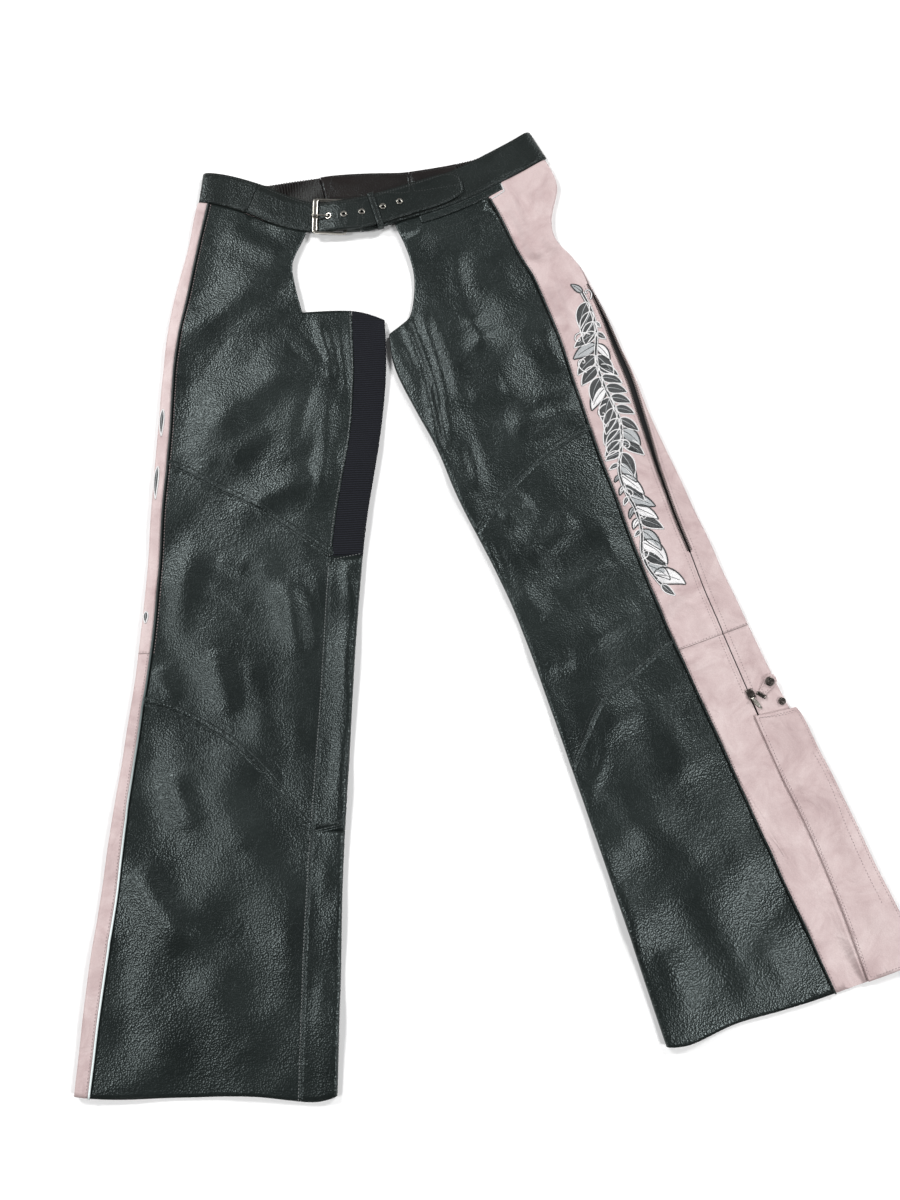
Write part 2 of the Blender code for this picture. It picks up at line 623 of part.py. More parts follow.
def rounded_rectangle(x_low, x_high, y_low, y_high, radius, steps=4):
    """Corner arcs joined by straight sides, counterclockwise."""
    centres = ((x_high - radius, y_high - radius), (x_low + radius, y_high - radius),
               (x_low + radius, y_low + radius), (x_high - radius, y_low + radius))
    outline = []
    for corner, (cx, cy) in enumerate(centres):
        for k in range(steps + 1):
            turn = math.pi / 2 * (corner + k / steps)
            outline.append((cx + radius * math.cos(turn), cy + radius * math.sin(turn)))
    return outline


def plate_with_hole(name, outer, inner, thickness, placing, finish, bevel=0.0):
    """A flat ring between two outlines that have the same number of points."""
    count = len(outer)
    vertices = []
    for z in (-thickness / 2, thickness / 2):
        for outline in (outer, inner):
            vertices += [placing @ Vector((x, y, z)) for x, y in outline]
    faces = []
    for j in range(count):
        k = (j + 1) % count
        faces.append((j, k, count + k, count + j))
        faces.append((2 * count + j, 3 * count + j, 3 * count + k, 2 * count + k))
        faces.append((j, 2 * count + j, 2 * count + k, k))
        faces.append((count + j, count + k, 3 * count + k, 3 * count + j))
    made = add_mesh(name, vertices, faces, finish)
    if bevel:
        rounding = made.modifiers.new("Rounded edges", "BEVEL")
        rounding.width = bevel
        rounding.segments = 1
        rounding.angle_limit = math.radians(50)
    return made


def turned(name, profile, placing, finish, steps=16):
    """A turned piece: its profile, top to bottom, spun about Z by a Screw modifier."""
    mesh = bpy.data.meshes.new(name)
    mesh.from_pydata([(r, 0.0, z) for r, z in profile], [(k, k + 1) for k in range(len(profile) - 1)],
                     [])
    mesh.materials.append(material(finish))
    made = bpy.data.objects.new(name, mesh)
    PARTS.objects.link(made)
    made.matrix_world = Matrix.Translation(SHIFT) @ placing
    spin = made.modifiers.new("Spin", "SCREW")
    spin.steps = steps
    spin.render_steps = steps
    spin.use_merge_vertices = True
    spin.merge_threshold = 0.00001
    spin.use_smooth_shade = True
    return made


def placed_on(leg, down, across, lift):
    """A frame on the upper leather: Z out of it, Y up the leg."""
    girth = leg.round_from(down, across)
    here = leg.point(down, girth)
    up_leg = (leg.face(down - 0.004, girth) - leg.face(down + 0.004, girth)).normalized()
    out = (leg.point(down, girth, 0.001) - here).normalized()
    sideways = up_leg.cross(out).normalized()
    up_leg = out.cross(sideways)
    turn = Matrix((sideways, up_leg, out)).transposed().to_4x4()
    return Matrix.Translation(here + out * lift) @ turn


def make_leg(leg, front_edge, back_edge):
    """All the sewn pieces of one leg, each its own object."""
    name = leg.name
    wraps = leg.side > 0          # the front of this leg wraps its inner fold
    half = leg.half_girth
    piping = lambda d: leg.round_from(d, leg.at("piping", d))
    zip_front = lambda d: leg.at("zip", d) + leg.at("zip_gap", d) / 2
    zip_back = lambda d: leg.at("zip", d) - leg.at("zip_gap", d) / 2
    back_seam = lambda d: leg.at("zip", d) - BACK_STRIP
    inseam = lambda d: half(d) - leg.at("inseam", d)
    outer_arc = math.pi * FOLD_RADIUS / 2
    fold_in = lambda d: half(d) - math.pi * leg.inner_radius(d) / 2
    fold_out = lambda d: half(d) + math.pi * leg.inner_radius(d) / 2
    belt_front = lambda line: leg.meet(line, front_edge)
    belt_back = lambda line: leg.meet(line, back_edge)
    crotch = cut_line(leg, "crotch")
    knee_top = cut_line(leg, "knee_top")
    knee_bottom = cut_line(leg, "knee_bottom")
    hem = cut_line(leg, "hem")

    # Front: from the piping to the inseam, with the corner of the crotch opening between.
    corner_down, corner_across = leg.corner
    far = half if wraps else inseam
    corner_girth = leg.round_from(corner_down, corner_across)
    corner_share = (corner_girth - piping(corner_down)) / (far(corner_down) - piping(corner_down))
    corner = lambda d: piping(d) + corner_share * (far(d) - piping(d))
    opening = lambda d: leg.round_from(d, leg.opening_edge(d))
    if wraps:
        lines = spread((piping, corner, fold_in, half, fold_out, inseam), (7, 2, 2, 2, 1))
    else:
        lines = spread((piping, corner, inseam), (7, 3))
    hip_lines = spread((piping, opening), (7,))
    front_top = belt_front(piping)
    hip = block(hip_lines, belt_front, level(corner_down),
                between(HIP_ROWS, front_top, corner_down))
    hip[-1] = [(corner_down, line(corner_down)) for line in lines[:len(hip_lines)]]
    crotch_top = lambda line: corner_down if line in lines[:len(hip_lines)] else crotch(line)
    thigh = block(lines, crotch_top, knee_top, even(9))
    knee = block(lines, knee_top, knee_bottom, even(9))
    shin = block(lines, knee_bottom, hem, even(10))
    panel(f"{name}_front_thigh", leg, [hip, thigh], "black_leather")
    panel(f"{name}_front_knee", leg, [knee], "black_leather")
    panel(f"{name}_front_shin", leg, [shin], "black_leather")

    # The pieces beside the front take their rows from it, so that the seams lie together.
    front_rows = downs_on([hip, thigh, knee, shin], 0)
    back_corner = leg.crotch + 0.012
    back_rows = HIP_ROWS + [back_corner] + downs_on([thigh, knee, shin], -1)

    # Coloured strips each side of the zip, one in front and one behind, round the outer fold.
    front_turn = [
        lambda d, k=k: max(zip_front(d) + 0.002 * (k + 2), k * outer_arc) for k in (-1, 0, 1)
    ]
    back_turn = [
        lambda d, k=k: min(zip_back(d) - 0.002 * (2 - k), k * outer_arc) for k in (-1, 0, 1)
    ]
    if wraps:
        front_lines = spread((zip_front, *front_turn, piping), (1, 2, 2, 3))
        back_lines = spread((back_seam, *back_turn, zip_back), (1, 2, 2, 3))
    else:
        front_lines = spread((zip_front, *front_turn, piping), (1, 2, 2, 1))
        back_lines = spread((back_seam, zip_back), (2,))
    split = SIDE_SPLIT[name]
    back_top = belt_back(back_seam)
    strips = (
        ("side_front_upper", front_lines, belt_front, level(split), front_rows, front_top, split),
        ("side_front_lower", front_lines, level(split), hem, front_rows, split, hem(piping)),
        ("side_back_upper", back_lines, belt_back, level(split), back_rows, back_top, split),
        ("side_back_lower", back_lines, level(split), hem, back_rows, split, hem(back_seam)),
    )
    for strip, strip_lines, top, bottom, rows, first, last in strips:
        grid = block(strip_lines, top, bottom, between(rows, first, last))
        panel(f"{name}_{strip}", leg, [grid], "pink_leather")

    # Zip tape, under the edges of both strips.
    tape_front = lambda d: leg.at("zip", d) + TAPE_WIDTH / 2
    tape_back = lambda d: leg.at("zip", d) - TAPE_WIDTH / 2
    tape = block(spread((tape_back, tape_front), (2,)), level(ZIP_START[name]), level(ZIP_END[name]),
                 between(front_rows, ZIP_START[name], ZIP_END[name]))
    panel(f"{name}_zip_tape", leg, [tape], "zip_tape", lift=-LEATHER - TAPE_CLEARANCE,
          wall=TAPE_THICKNESS)

    # Ribbed stretch panel behind the inseam, and the back of the leg below and beside it.
    # Round the lower side the same lines count on from the outer fold the other way.
    stretch_far = lambda d: inseam(d) + 0.080 - 0.025 * ease((d - leg.crotch) / 0.3)
    stretch_edge = lambda d: stretch_far(d) + SEAM_GAP - 2 * half(d)
    inseam_back = lambda d: inseam(d) - 2 * half(d)
    if wraps:
        stretch_lines = spread((inseam, stretch_far), (3,))
        fold_lines = [inseam_back]
    else:
        stretch_lines = spread((inseam, fold_in, half, fold_out, stretch_far), (3, 2, 2, 1))
        back_in = lambda d: fold_in(d) - 2 * half(d)
        back_mid = lambda d: -half(d)
        back_out = lambda d: fold_out(d) - 2 * half(d)
        fold_lines = spread((inseam_back, back_in, back_mid, back_out), (3, 2, 2))
    stretch = block(stretch_lines, crotch, level(STRETCH_END),
                    between(downs_on([thigh, knee], -1), crotch(inseam), STRETCH_END))
    panel(f"{name}_stretch_panel", leg, [stretch], "stretch_rib")
    seat_edge = lambda d: -leg.round_from(d, leg.opening_edge(d) + SEAT_INSET[name])
    share = ((seat_edge(back_corner) - back_seam(back_corner))
             / (stretch_edge(back_corner) - back_seam(back_corner)))
    seat_corner = lambda d: back_seam(d) + share * (stretch_edge(d) - back_seam(d))
    seat_lines = spread((seat_edge, back_seam), (3,))
    thigh_lines = spread((stretch_edge, seat_corner, back_seam), (1, 3))
    seat = block(seat_lines, belt_back, level(back_corner),
                 between(back_rows, back_top, back_corner))
    seat[-1] = [(back_corner, line(back_corner)) for line in thigh_lines[1:]]
    split = BACK_SPLIT[name]
    thigh_back = block(thigh_lines, level(back_corner), level(STRETCH_END),
                       between(back_rows, back_corner, STRETCH_END))
    calf = block(fold_lines + thigh_lines, level(STRETCH_END), level(split),
                 between(back_rows, STRETCH_END, split))
    shank = block(fold_lines + thigh_lines, level(split), hem,
                  between(back_rows, split, hem(back_seam)))
    panel(f"{name}_back_upper", leg, [seat, thigh_back, calf], "black_leather")
    panel(f"{name}_back_lower", leg, [shank], "black_leather")

    # Piping over the seam between the front and the coloured strip.
    top = front_top + PIPING_START[name]
    run = [top] + [d for d in front_rows if d > top + 0.006]
    lift = PIPING_RADIUS + SEAM_GAP
    round_bar(f"{name}_piping", [leg.point(d, piping(d), lift) for d in run],
              PIPING_RADIUS, "black_leather", sides=6)


def make_flap(leg):
    """The lower flap: sewn to the front strip, lying over the rear one, free at its edge."""
    edge = Curve(FLAP_EDGE)
    top = Curve(FLAP_TOP)
    sewn = lambda d: across_of(leg, d, leg.at("zip", d) + leg.at("zip_gap", d) / 2) - FLAP_OVERLAP

    def place(down, across, lift):
        nose = leg.at("outer", down) - FOLD_RADIUS
        height = leg.top_height(down, min(across, nose))
        over = max(0.0, across - nose) / (2 * FOLD_RADIUS)
        x, y = leg.plan(down, across)
        rise = FLAP_CLEARANCE + LEATHER + lift - FLAP_DROOP * over * over
        return Vector((x, y, height + rise))

    lines = [lambda d, s=k / 6: sewn(d) * (1 - s) + edge(d) * s for k in range(7)]
    hem = lambda line: leg.cuts["hem"](line(1.005))
    first = lambda line: top(line(0.7145))
    shares = [0.0, 0.022, 0.05, 0.10, 0.18, 0.28, 0.39, 0.50, 0.61, 0.72, 0.82, 0.91, 1.0]
    panel("left_flap", leg, [block(lines, first, hem, shares)], "pink_leather", place=place)


def make_welt(leg, front_edge):
    """Pocket welt under the belt, over the front and the coloured strip."""
    def place(down, across, lift):
        x, y = leg.plan(down, across)
        return Vector((x, y, leg.top_height(down, across) + SEAM_GAP + LEATHER + lift))

    first, last = WELT_ENDS
    lines = [lambda d, a=first + (last - first) * k / 10: a for k in range(11)]
    grid = []
    for share in (0.0, 0.5, 1.0):
        row = []
        for line in lines:
            across = line(0.0)
            belt = leg.meet(lambda d: leg.round_from(d, across), front_edge)
            row.append((belt + share * WELT_DEPTH, across))
        grid.append(row)
    panel("left_pocket_welt", leg, [grid], "black_leather", place=place)


def make_tab(leg):
    """Leather tab that snaps down beside the zip's slider."""
    grid = []
    for along, half_width in TAB_ROWS:
        row = []
        for side in (-1.0, -0.35, 0.35, 1.0):
            down = TAB_START[0] + TAB_WAY[0] * along + TAB_WAY[1] * half_width * side
            across = TAB_START[1] + TAB_WAY[1] * along - TAB_WAY[0] * half_width * side
            nose = leg.at("outer", down) - FOLD_RADIUS
            if across > nose:
                girth = FOLD_RADIUS * math.pi / 2 - (across - nose)
            else:
                girth = leg.round_from(down, across)
            row.append((down, girth))
        grid.append(row)
    panel("zip_tab", leg, [grid], "pink_leather", lift=LEATHER + SEAM_GAP)


def belt_frame(rows, x):
    """A frame on a belt's middle line: X along it, Z out of its upper face."""
    here = Vector(path_row(rows, x)[:3])
    ahead = Vector(path_row(rows, x + 0.004)[:3])
    behind = Vector(path_row(rows, x - 0.004)[:3])
    run = (ahead - behind).normalized()
    across = Vector((0, 0, 1)).cross(run).normalized()
    out = run.cross(across)
    return Matrix.Translation(here) @ Matrix((run, across, out)).transposed().to_4x4()


def cylinder_cutter(name, placing, radius, length, sides=14):
    mesh = bpy.data.meshes.new(name)
    bm = bmesh.new()
    bmesh.ops.create_cone(bm, cap_ends=True, segments=sides, radius1=radius, radius2=radius,
                          depth=length)
    bm.to_mesh(mesh)
    bm.free()
    cutter = bpy.data.objects.new(name, mesh)
    CUTTERS.objects.link(cutter)
    cutter.matrix_world = Matrix.Translation(SHIFT) @ placing
    cutter.hide_render = True
    cutter.display_type = "WIRE"
    return cutter


def boolean(target, tool, operation):
    change = target.modifiers.new(f"{operation.title()} {tool.name}", "BOOLEAN")
    change.operation = operation
    change.solver = "EXACT"
    change.object = tool


def make_belt():
    ribbon("belt_right_side", BELT_RIGHT_SIDE, BELT_LEATHER, "black_leather")
    ribbon("belt_left_front", BELT_LEFT_FRONT, BELT_LEATHER, "black_leather")
    for name, start, end, ribs in BACK_BELT_PIECES:
        start += SEAM_GAP / 2
        end -= SEAM_GAP / 2
        if ribs:
            count = 2 * ribs
            rows = [path_row(BACK_BELT, start + (end - start) * k / count)
                    for k in range(count + 1)]
            rows = [(x, y, z - RIB_HEIGHT / 2, width) for x, y, z, width in rows]
            crown = [RIB_HEIGHT if k % 2 else 0.0 for k in range(count + 1)]
            ribbon(name, rows, BELT_LEATHER - RIB_HEIGHT, "stretch_rib", 1, crown)
        else:
            rows = [path_row(BACK_BELT, start)]
            rows += [row for row in BACK_BELT if start + 0.001 < row[0] < end - 0.001]
            rows += [path_row(BACK_BELT, end)]
            ribbon(name, rows, BELT_LEATHER, "belt_lining")
    tongue = ribbon("belt_tongue", BELT_TONGUE, BELT_LEATHER, "black_leather")
    for k, (x, hole) in enumerate(zip(EYELET_X, EYELET_HOLES)):
        frame = belt_frame(BELT_TONGUE, x)
        boolean(tongue, cylinder_cutter(f"hole_{k + 1}", frame, hole, 0.012), "DIFFERENCE")
        seat = frame @ Matrix.Translation(
            (0, 0, BELT_LEATHER / 2 + SEAM_GAP + EYELET_THICKNESS / 2))
        ring = [(math.cos(2 * math.pi * j / 14), math.sin(2 * math.pi * j / 14))
                for j in range(14)]
        plate_with_hole(f"eyelet_{k + 1}", [(EYELET_RIM * c, EYELET_RIM * s) for c, s in ring],
                        [(hole * c, hole * s) for c, s in ring], EYELET_THICKNESS, seat,
                        "pewter")


def make_buckle():
    turn = Matrix.Translation(BUCKLE_CENTRE) @ Matrix.Rotation(BUCKLE_TILT, 4, "Y")
    half_length, half_height = BUCKLE_LENGTH / 2, BUCKLE_HEIGHT / 2
    arm = BUCKLE_BARS["arm"]
    outer = rounded_rectangle(-half_length, half_length, -half_height, half_height,
                              BUCKLE_CORNER)
    inner = rounded_rectangle(-half_length + BUCKLE_BARS["front"],
                              half_length - BUCKLE_BARS["heel"],
                              -half_height + arm, half_height - arm, BUCKLE_CORNER - arm)
    plate_with_hole("buckle_frame", outer, inner, BUCKLE_THICKNESS, turn, "pewter",
                    bevel=BUCKLE_EDGE)
    round_bar("buckle_prong", PRONG_PATH, PRONG_RADIUS, "pewter")
    # Leather loop round the heel bar: an outline seen along the bar, as deep as the loop is wide.
    heel = turn @ Vector((half_length - BUCKLE_BARS["heel"] / 2, 0, 0))
    bore = BUCKLE_BARS["heel"] / 2 + 0.0005
    reach = LOOP_END_X - heel.x
    outside, inside = [], []
    for k in range(17):
        angle = math.radians(70 + 220 * k / 16)
        outside.append(((bore + LOOP_LEATHER) * math.cos(angle),
                        (bore + LOOP_LEATHER) * math.sin(angle)))
        inside.append((bore * math.cos(angle), bore * math.sin(angle)))
    outside += [(reach, -BELT_LEATHER / 2), (reach, BELT_LEATHER / 2)]
    inside += [(bore * math.cos(math.radians(-30)), bore * math.sin(math.radians(-30))),
               (bore * math.cos(math.radians(30)), bore * math.sin(math.radians(30)))]
    upright = Matrix.Translation(heel) @ Matrix.Rotation(math.pi / 2, 4, "X")
    plate_with_hole("buckle_loop", outside, inside, LOOP_WIDTH, upright, "black_leather")
    # Keeper: a band round both ends of the belt.
    half_width, low, high = KEEPER_INSIDE
    depth = (high - low) / 2
    stand = (Matrix.Translation((*KEEPER_CENTRE, (low + high) / 2))
             @ Matrix.Rotation(KEEPER_TURN + math.pi / 2, 4, "Z")
             @ Matrix.Rotation(math.pi / 2, 4, "X"))
    plate_with_hole(
        "belt_keeper",
        rounded_rectangle(-half_width - KEEPER_LEATHER, half_width + KEEPER_LEATHER,
                          -depth - KEEPER_LEATHER, depth + KEEPER_LEATHER, 0.0020, steps=2),
        rounded_rectangle(-half_width, half_width, -depth, depth, 0.0006, steps=2),
        KEEPER_WIDTH, stand, "black_leather")


def box(name, placing, size, collection, finish=None):
    """A block with its scale in its mesh."""
    mesh = bpy.data.meshes.new(name)
    bm = bmesh.new()
    bmesh.ops.create_cube(bm, size=1.0)
    bmesh.ops.scale(bm, vec=size, verts=bm.verts)
    bm.to_mesh(mesh)
    bm.free()
    made = bpy.data.objects.new(name, mesh)
    collection.objects.link(made)
    made.matrix_world = Matrix.Translation(SHIFT) @ placing
    if finish:
        mesh.materials.append(material(finish))
    else:
        made.hide_render = True
        made.display_type = "WIRE"
    return made


def make_zip_hardware(leg):
    across, along, thick = SLIDER_SIZE
    seat = placed_on(leg, *SLIDER_PLACE, SEAM_GAP + thick / 2)
    slider = box("zip_slider", seat, (across, along, thick), PARTS, "gunmetal")
    # The pull's own frame: Y points back up the pull, X along its barrel, Z out of the leather.
    hinge = placed_on(leg, *HINGE_PLACE, HINGE_LIFT) @ Matrix.Rotation(PULL_LEAN, 4, "Z")
    for side in (-1, 1):
        ear = hinge @ Matrix.Translation((side * EAR_REACH, 0, -EAR_SIZE[2] / 2 + PULL_BARREL))
        boolean(slider, box(f"ear_{side + 2}", ear, EAR_SIZE, CUTTERS), "UNION")
    pull_frame = hinge @ Matrix.Rotation(PULL_DROP, 4, "X")
    length, half = PULL_LENGTH, PULL_WIDTH / 2
    outline = [(-0.0013, 0.0), (-0.0015, -0.0020), (-half, -0.36 * length),
               (-0.55 * half, -0.78 * length), (-0.0003, -length), (0.0003, -length),
               (0.55 * half, -0.78 * length), (half, -0.36 * length), (0.0015, -0.0020),
               (0.0013, 0.0)]
    count = len(outline)
    vertices = [Vector((x, y, z)) for z in (-PULL_THICKNESS / 2, PULL_THICKNESS / 2)
                for x, y in outline]
    faces = [tuple(range(count)), tuple(range(2 * count - 1, count - 1, -1))]
    faces += [(k, count + k, count + (k + 1) % count, (k + 1) % count) for k in range(count)]
    mesh = bpy.data.meshes.new("zip_pull")
    mesh.from_pydata(vertices, [], faces)
    bm = bmesh.new()
    bm.from_mesh(mesh)
    bmesh.ops.recalc_face_normals(bm, faces=bm.faces)
    bm.to_mesh(mesh)
    bm.free()
    mesh.materials.append(material("pewter"))
    pull = bpy.data.objects.new("zip_pull", mesh)
    PARTS.objects.link(pull)
    pull.matrix_world = Matrix.Translation(SHIFT) @ pull_frame
    barrel = pull_frame @ Matrix.Rotation(math.pi / 2, 4, "Y")
    boolean(pull, cylinder_cutter("barrel", barrel, PULL_BARREL, 0.0029, sides=10), "UNION")
    # Metal clamp at the end of the snap tab, square to the tab.
    clamp = placed_on(leg, *CLAMP_PLACE, SEAM_GAP + CLAMP_SIZE[2] / 2)
    turn = math.atan2(-TAB_WAY[0], TAB_WAY[1])
    box("tab_clamp", clamp @ Matrix.Rotation(turn, 4, "Z"), CLAMP_SIZE, PARTS, "gunmetal")
    turned("snap_tab", SNAP_PROFILE, placed_on(leg, *TAB_SNAP, LEATHER + 3 * SEAM_GAP),
           "gunmetal", SNAP_STEPS)
    turned("snap_side", SNAP_PROFILE, placed_on(leg, *FLAP_SNAP, 2 * SEAM_GAP) @
           Matrix.Scale(0.8, 4), "gunmetal", SNAP_STEPS)


def build():
    right = Leg("right", (-0.248, 0.700), 0.0, -1, RIGHT_STATIONS, RIGHT_CUTS, RIGHT_OPENING,
                RIGHT_FOLDS)
    left = Leg("left", (0.025, 0.710), math.radians(20), 1, LEFT_STATIONS, LEFT_CUTS,
               LEFT_OPENING, LEFT_FOLDS)
    right_front = lower_edge(BELT_RIGHT_SIDE[7:] + BELT_TONGUE[1:6])
    left_front = lower_edge(BELT_LEFT_FRONT[:14])
    back = lower_edge(BELT_RIGHT_SIDE[3::-1] + BACK_BELT[1:-1] + BELT_LEFT_FRONT[:16:-1])
    make_leg(right, right_front, back)
    make_leg(left, left_front, back)
    make_flap(left)
    make_welt(left, left_front)
    make_tab(left)
    make_belt()
    make_buckle()
    make_zip_hardware(left)


PARTS = bpy.data.collections.new("leather_chaps")
CUTTERS = bpy.data.collections.new("cutters")
clear_scene()
bpy.context.scene.collection.children.link(PARTS)
bpy.context.scene.collection.children.link(CUTTERS)
build()
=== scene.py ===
# %% [markdown]
# # Leather chaps, laid flat
#
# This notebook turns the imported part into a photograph: the black leather legs, the pale
# side panels with their embroidery, the belt, the zip and the light from above. The first
# cell loads the part's solids. They are the frame: every piece made here lies on them.

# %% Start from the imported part
import math
import random

import bmesh
import bpy
import numpy as np
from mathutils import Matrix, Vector
from mathutils.bvhtree import BVHTree


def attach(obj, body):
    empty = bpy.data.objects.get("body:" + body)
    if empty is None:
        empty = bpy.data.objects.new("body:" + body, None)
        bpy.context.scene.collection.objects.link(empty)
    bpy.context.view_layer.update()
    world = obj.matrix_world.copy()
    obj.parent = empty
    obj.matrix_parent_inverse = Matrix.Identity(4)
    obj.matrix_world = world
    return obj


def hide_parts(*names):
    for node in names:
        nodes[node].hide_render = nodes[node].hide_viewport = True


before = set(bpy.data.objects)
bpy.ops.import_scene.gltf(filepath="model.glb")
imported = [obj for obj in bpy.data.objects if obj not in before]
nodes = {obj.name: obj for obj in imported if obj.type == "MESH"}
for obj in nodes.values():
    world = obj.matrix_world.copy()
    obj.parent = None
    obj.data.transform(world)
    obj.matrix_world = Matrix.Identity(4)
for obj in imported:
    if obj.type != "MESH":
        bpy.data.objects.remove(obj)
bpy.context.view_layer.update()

# %% [markdown]
# ## Camera
#
# The photograph looks down on a surface from about a metre, tipped a little towards the belt.
# The tilt, the height and the lens were worked out from the legs' perspective, so the
# camera is a few numbers and needs no fitting. Blender's lens is given for a 36 mm sensor
# laid along the picture's long side.

# %% Camera over the garment
PLAN_ORIGIN = Vector((-0.0585, -0.2400, 0.0))     # the point straight below the camera
CAMERA_HEIGHT = 1.048
CAMERA_TILT = math.radians(11)
FOCAL_PIXELS = 923
PICTURE_PIXELS = (900, 1200)
SENSOR_MM = 36

camera_data = bpy.data.cameras.new("photo_camera")
camera_data.sensor_fit = "AUTO"
camera_data.sensor_width = SENSOR_MM
camera_data.lens = FOCAL_PIXELS * SENSOR_MM / PICTURE_PIXELS[1]


def add_object(name, data):
    made = bpy.data.objects.new(name, data)
    bpy.context.scene.collection.objects.link(made)
    return made


camera = add_object("photo_camera", camera_data)
camera.location = (PLAN_ORIGIN.x, PLAN_ORIGIN.y, CAMERA_HEIGHT)
camera.rotation_euler = (CAMERA_TILT, 0, 0)
bpy.context.scene.camera = camera


def on_surface(px, py, height=0.006):
    """The place on the garment that the photograph shows at a pixel."""
    up = (PICTURE_PIXELS[1] / 2 - py) / FOCAL_PIXELS
    along = (px - PICTURE_PIXELS[0] / 2) / FOCAL_PIXELS
    depth = math.cos(CAMERA_TILT) - up * math.sin(CAMERA_TILT)
    reach = (CAMERA_HEIGHT - height) / depth
    return Vector((
        PLAN_ORIGIN.x + reach * along,
        PLAN_ORIGIN.y + reach * (math.sin(CAMERA_TILT) + up * math.cos(CAMERA_TILT)),
    ))


print("lens", round(camera_data.lens, 2), "mm; buckle at", on_surface(330, 218))

# %% [markdown]
# ## Soft folds
#
# Leather that lies on a table keeps low, broad folds. They can be simulated, but a
# simulation never puts them where the photograph has them. Here each fold is a row in a
# table: it runs between two pixels of the photograph, and it raises or lowers all leather
# that it passes. One height field serves all the pieces, so seams stay closed and the
# stitches and the piping follow.

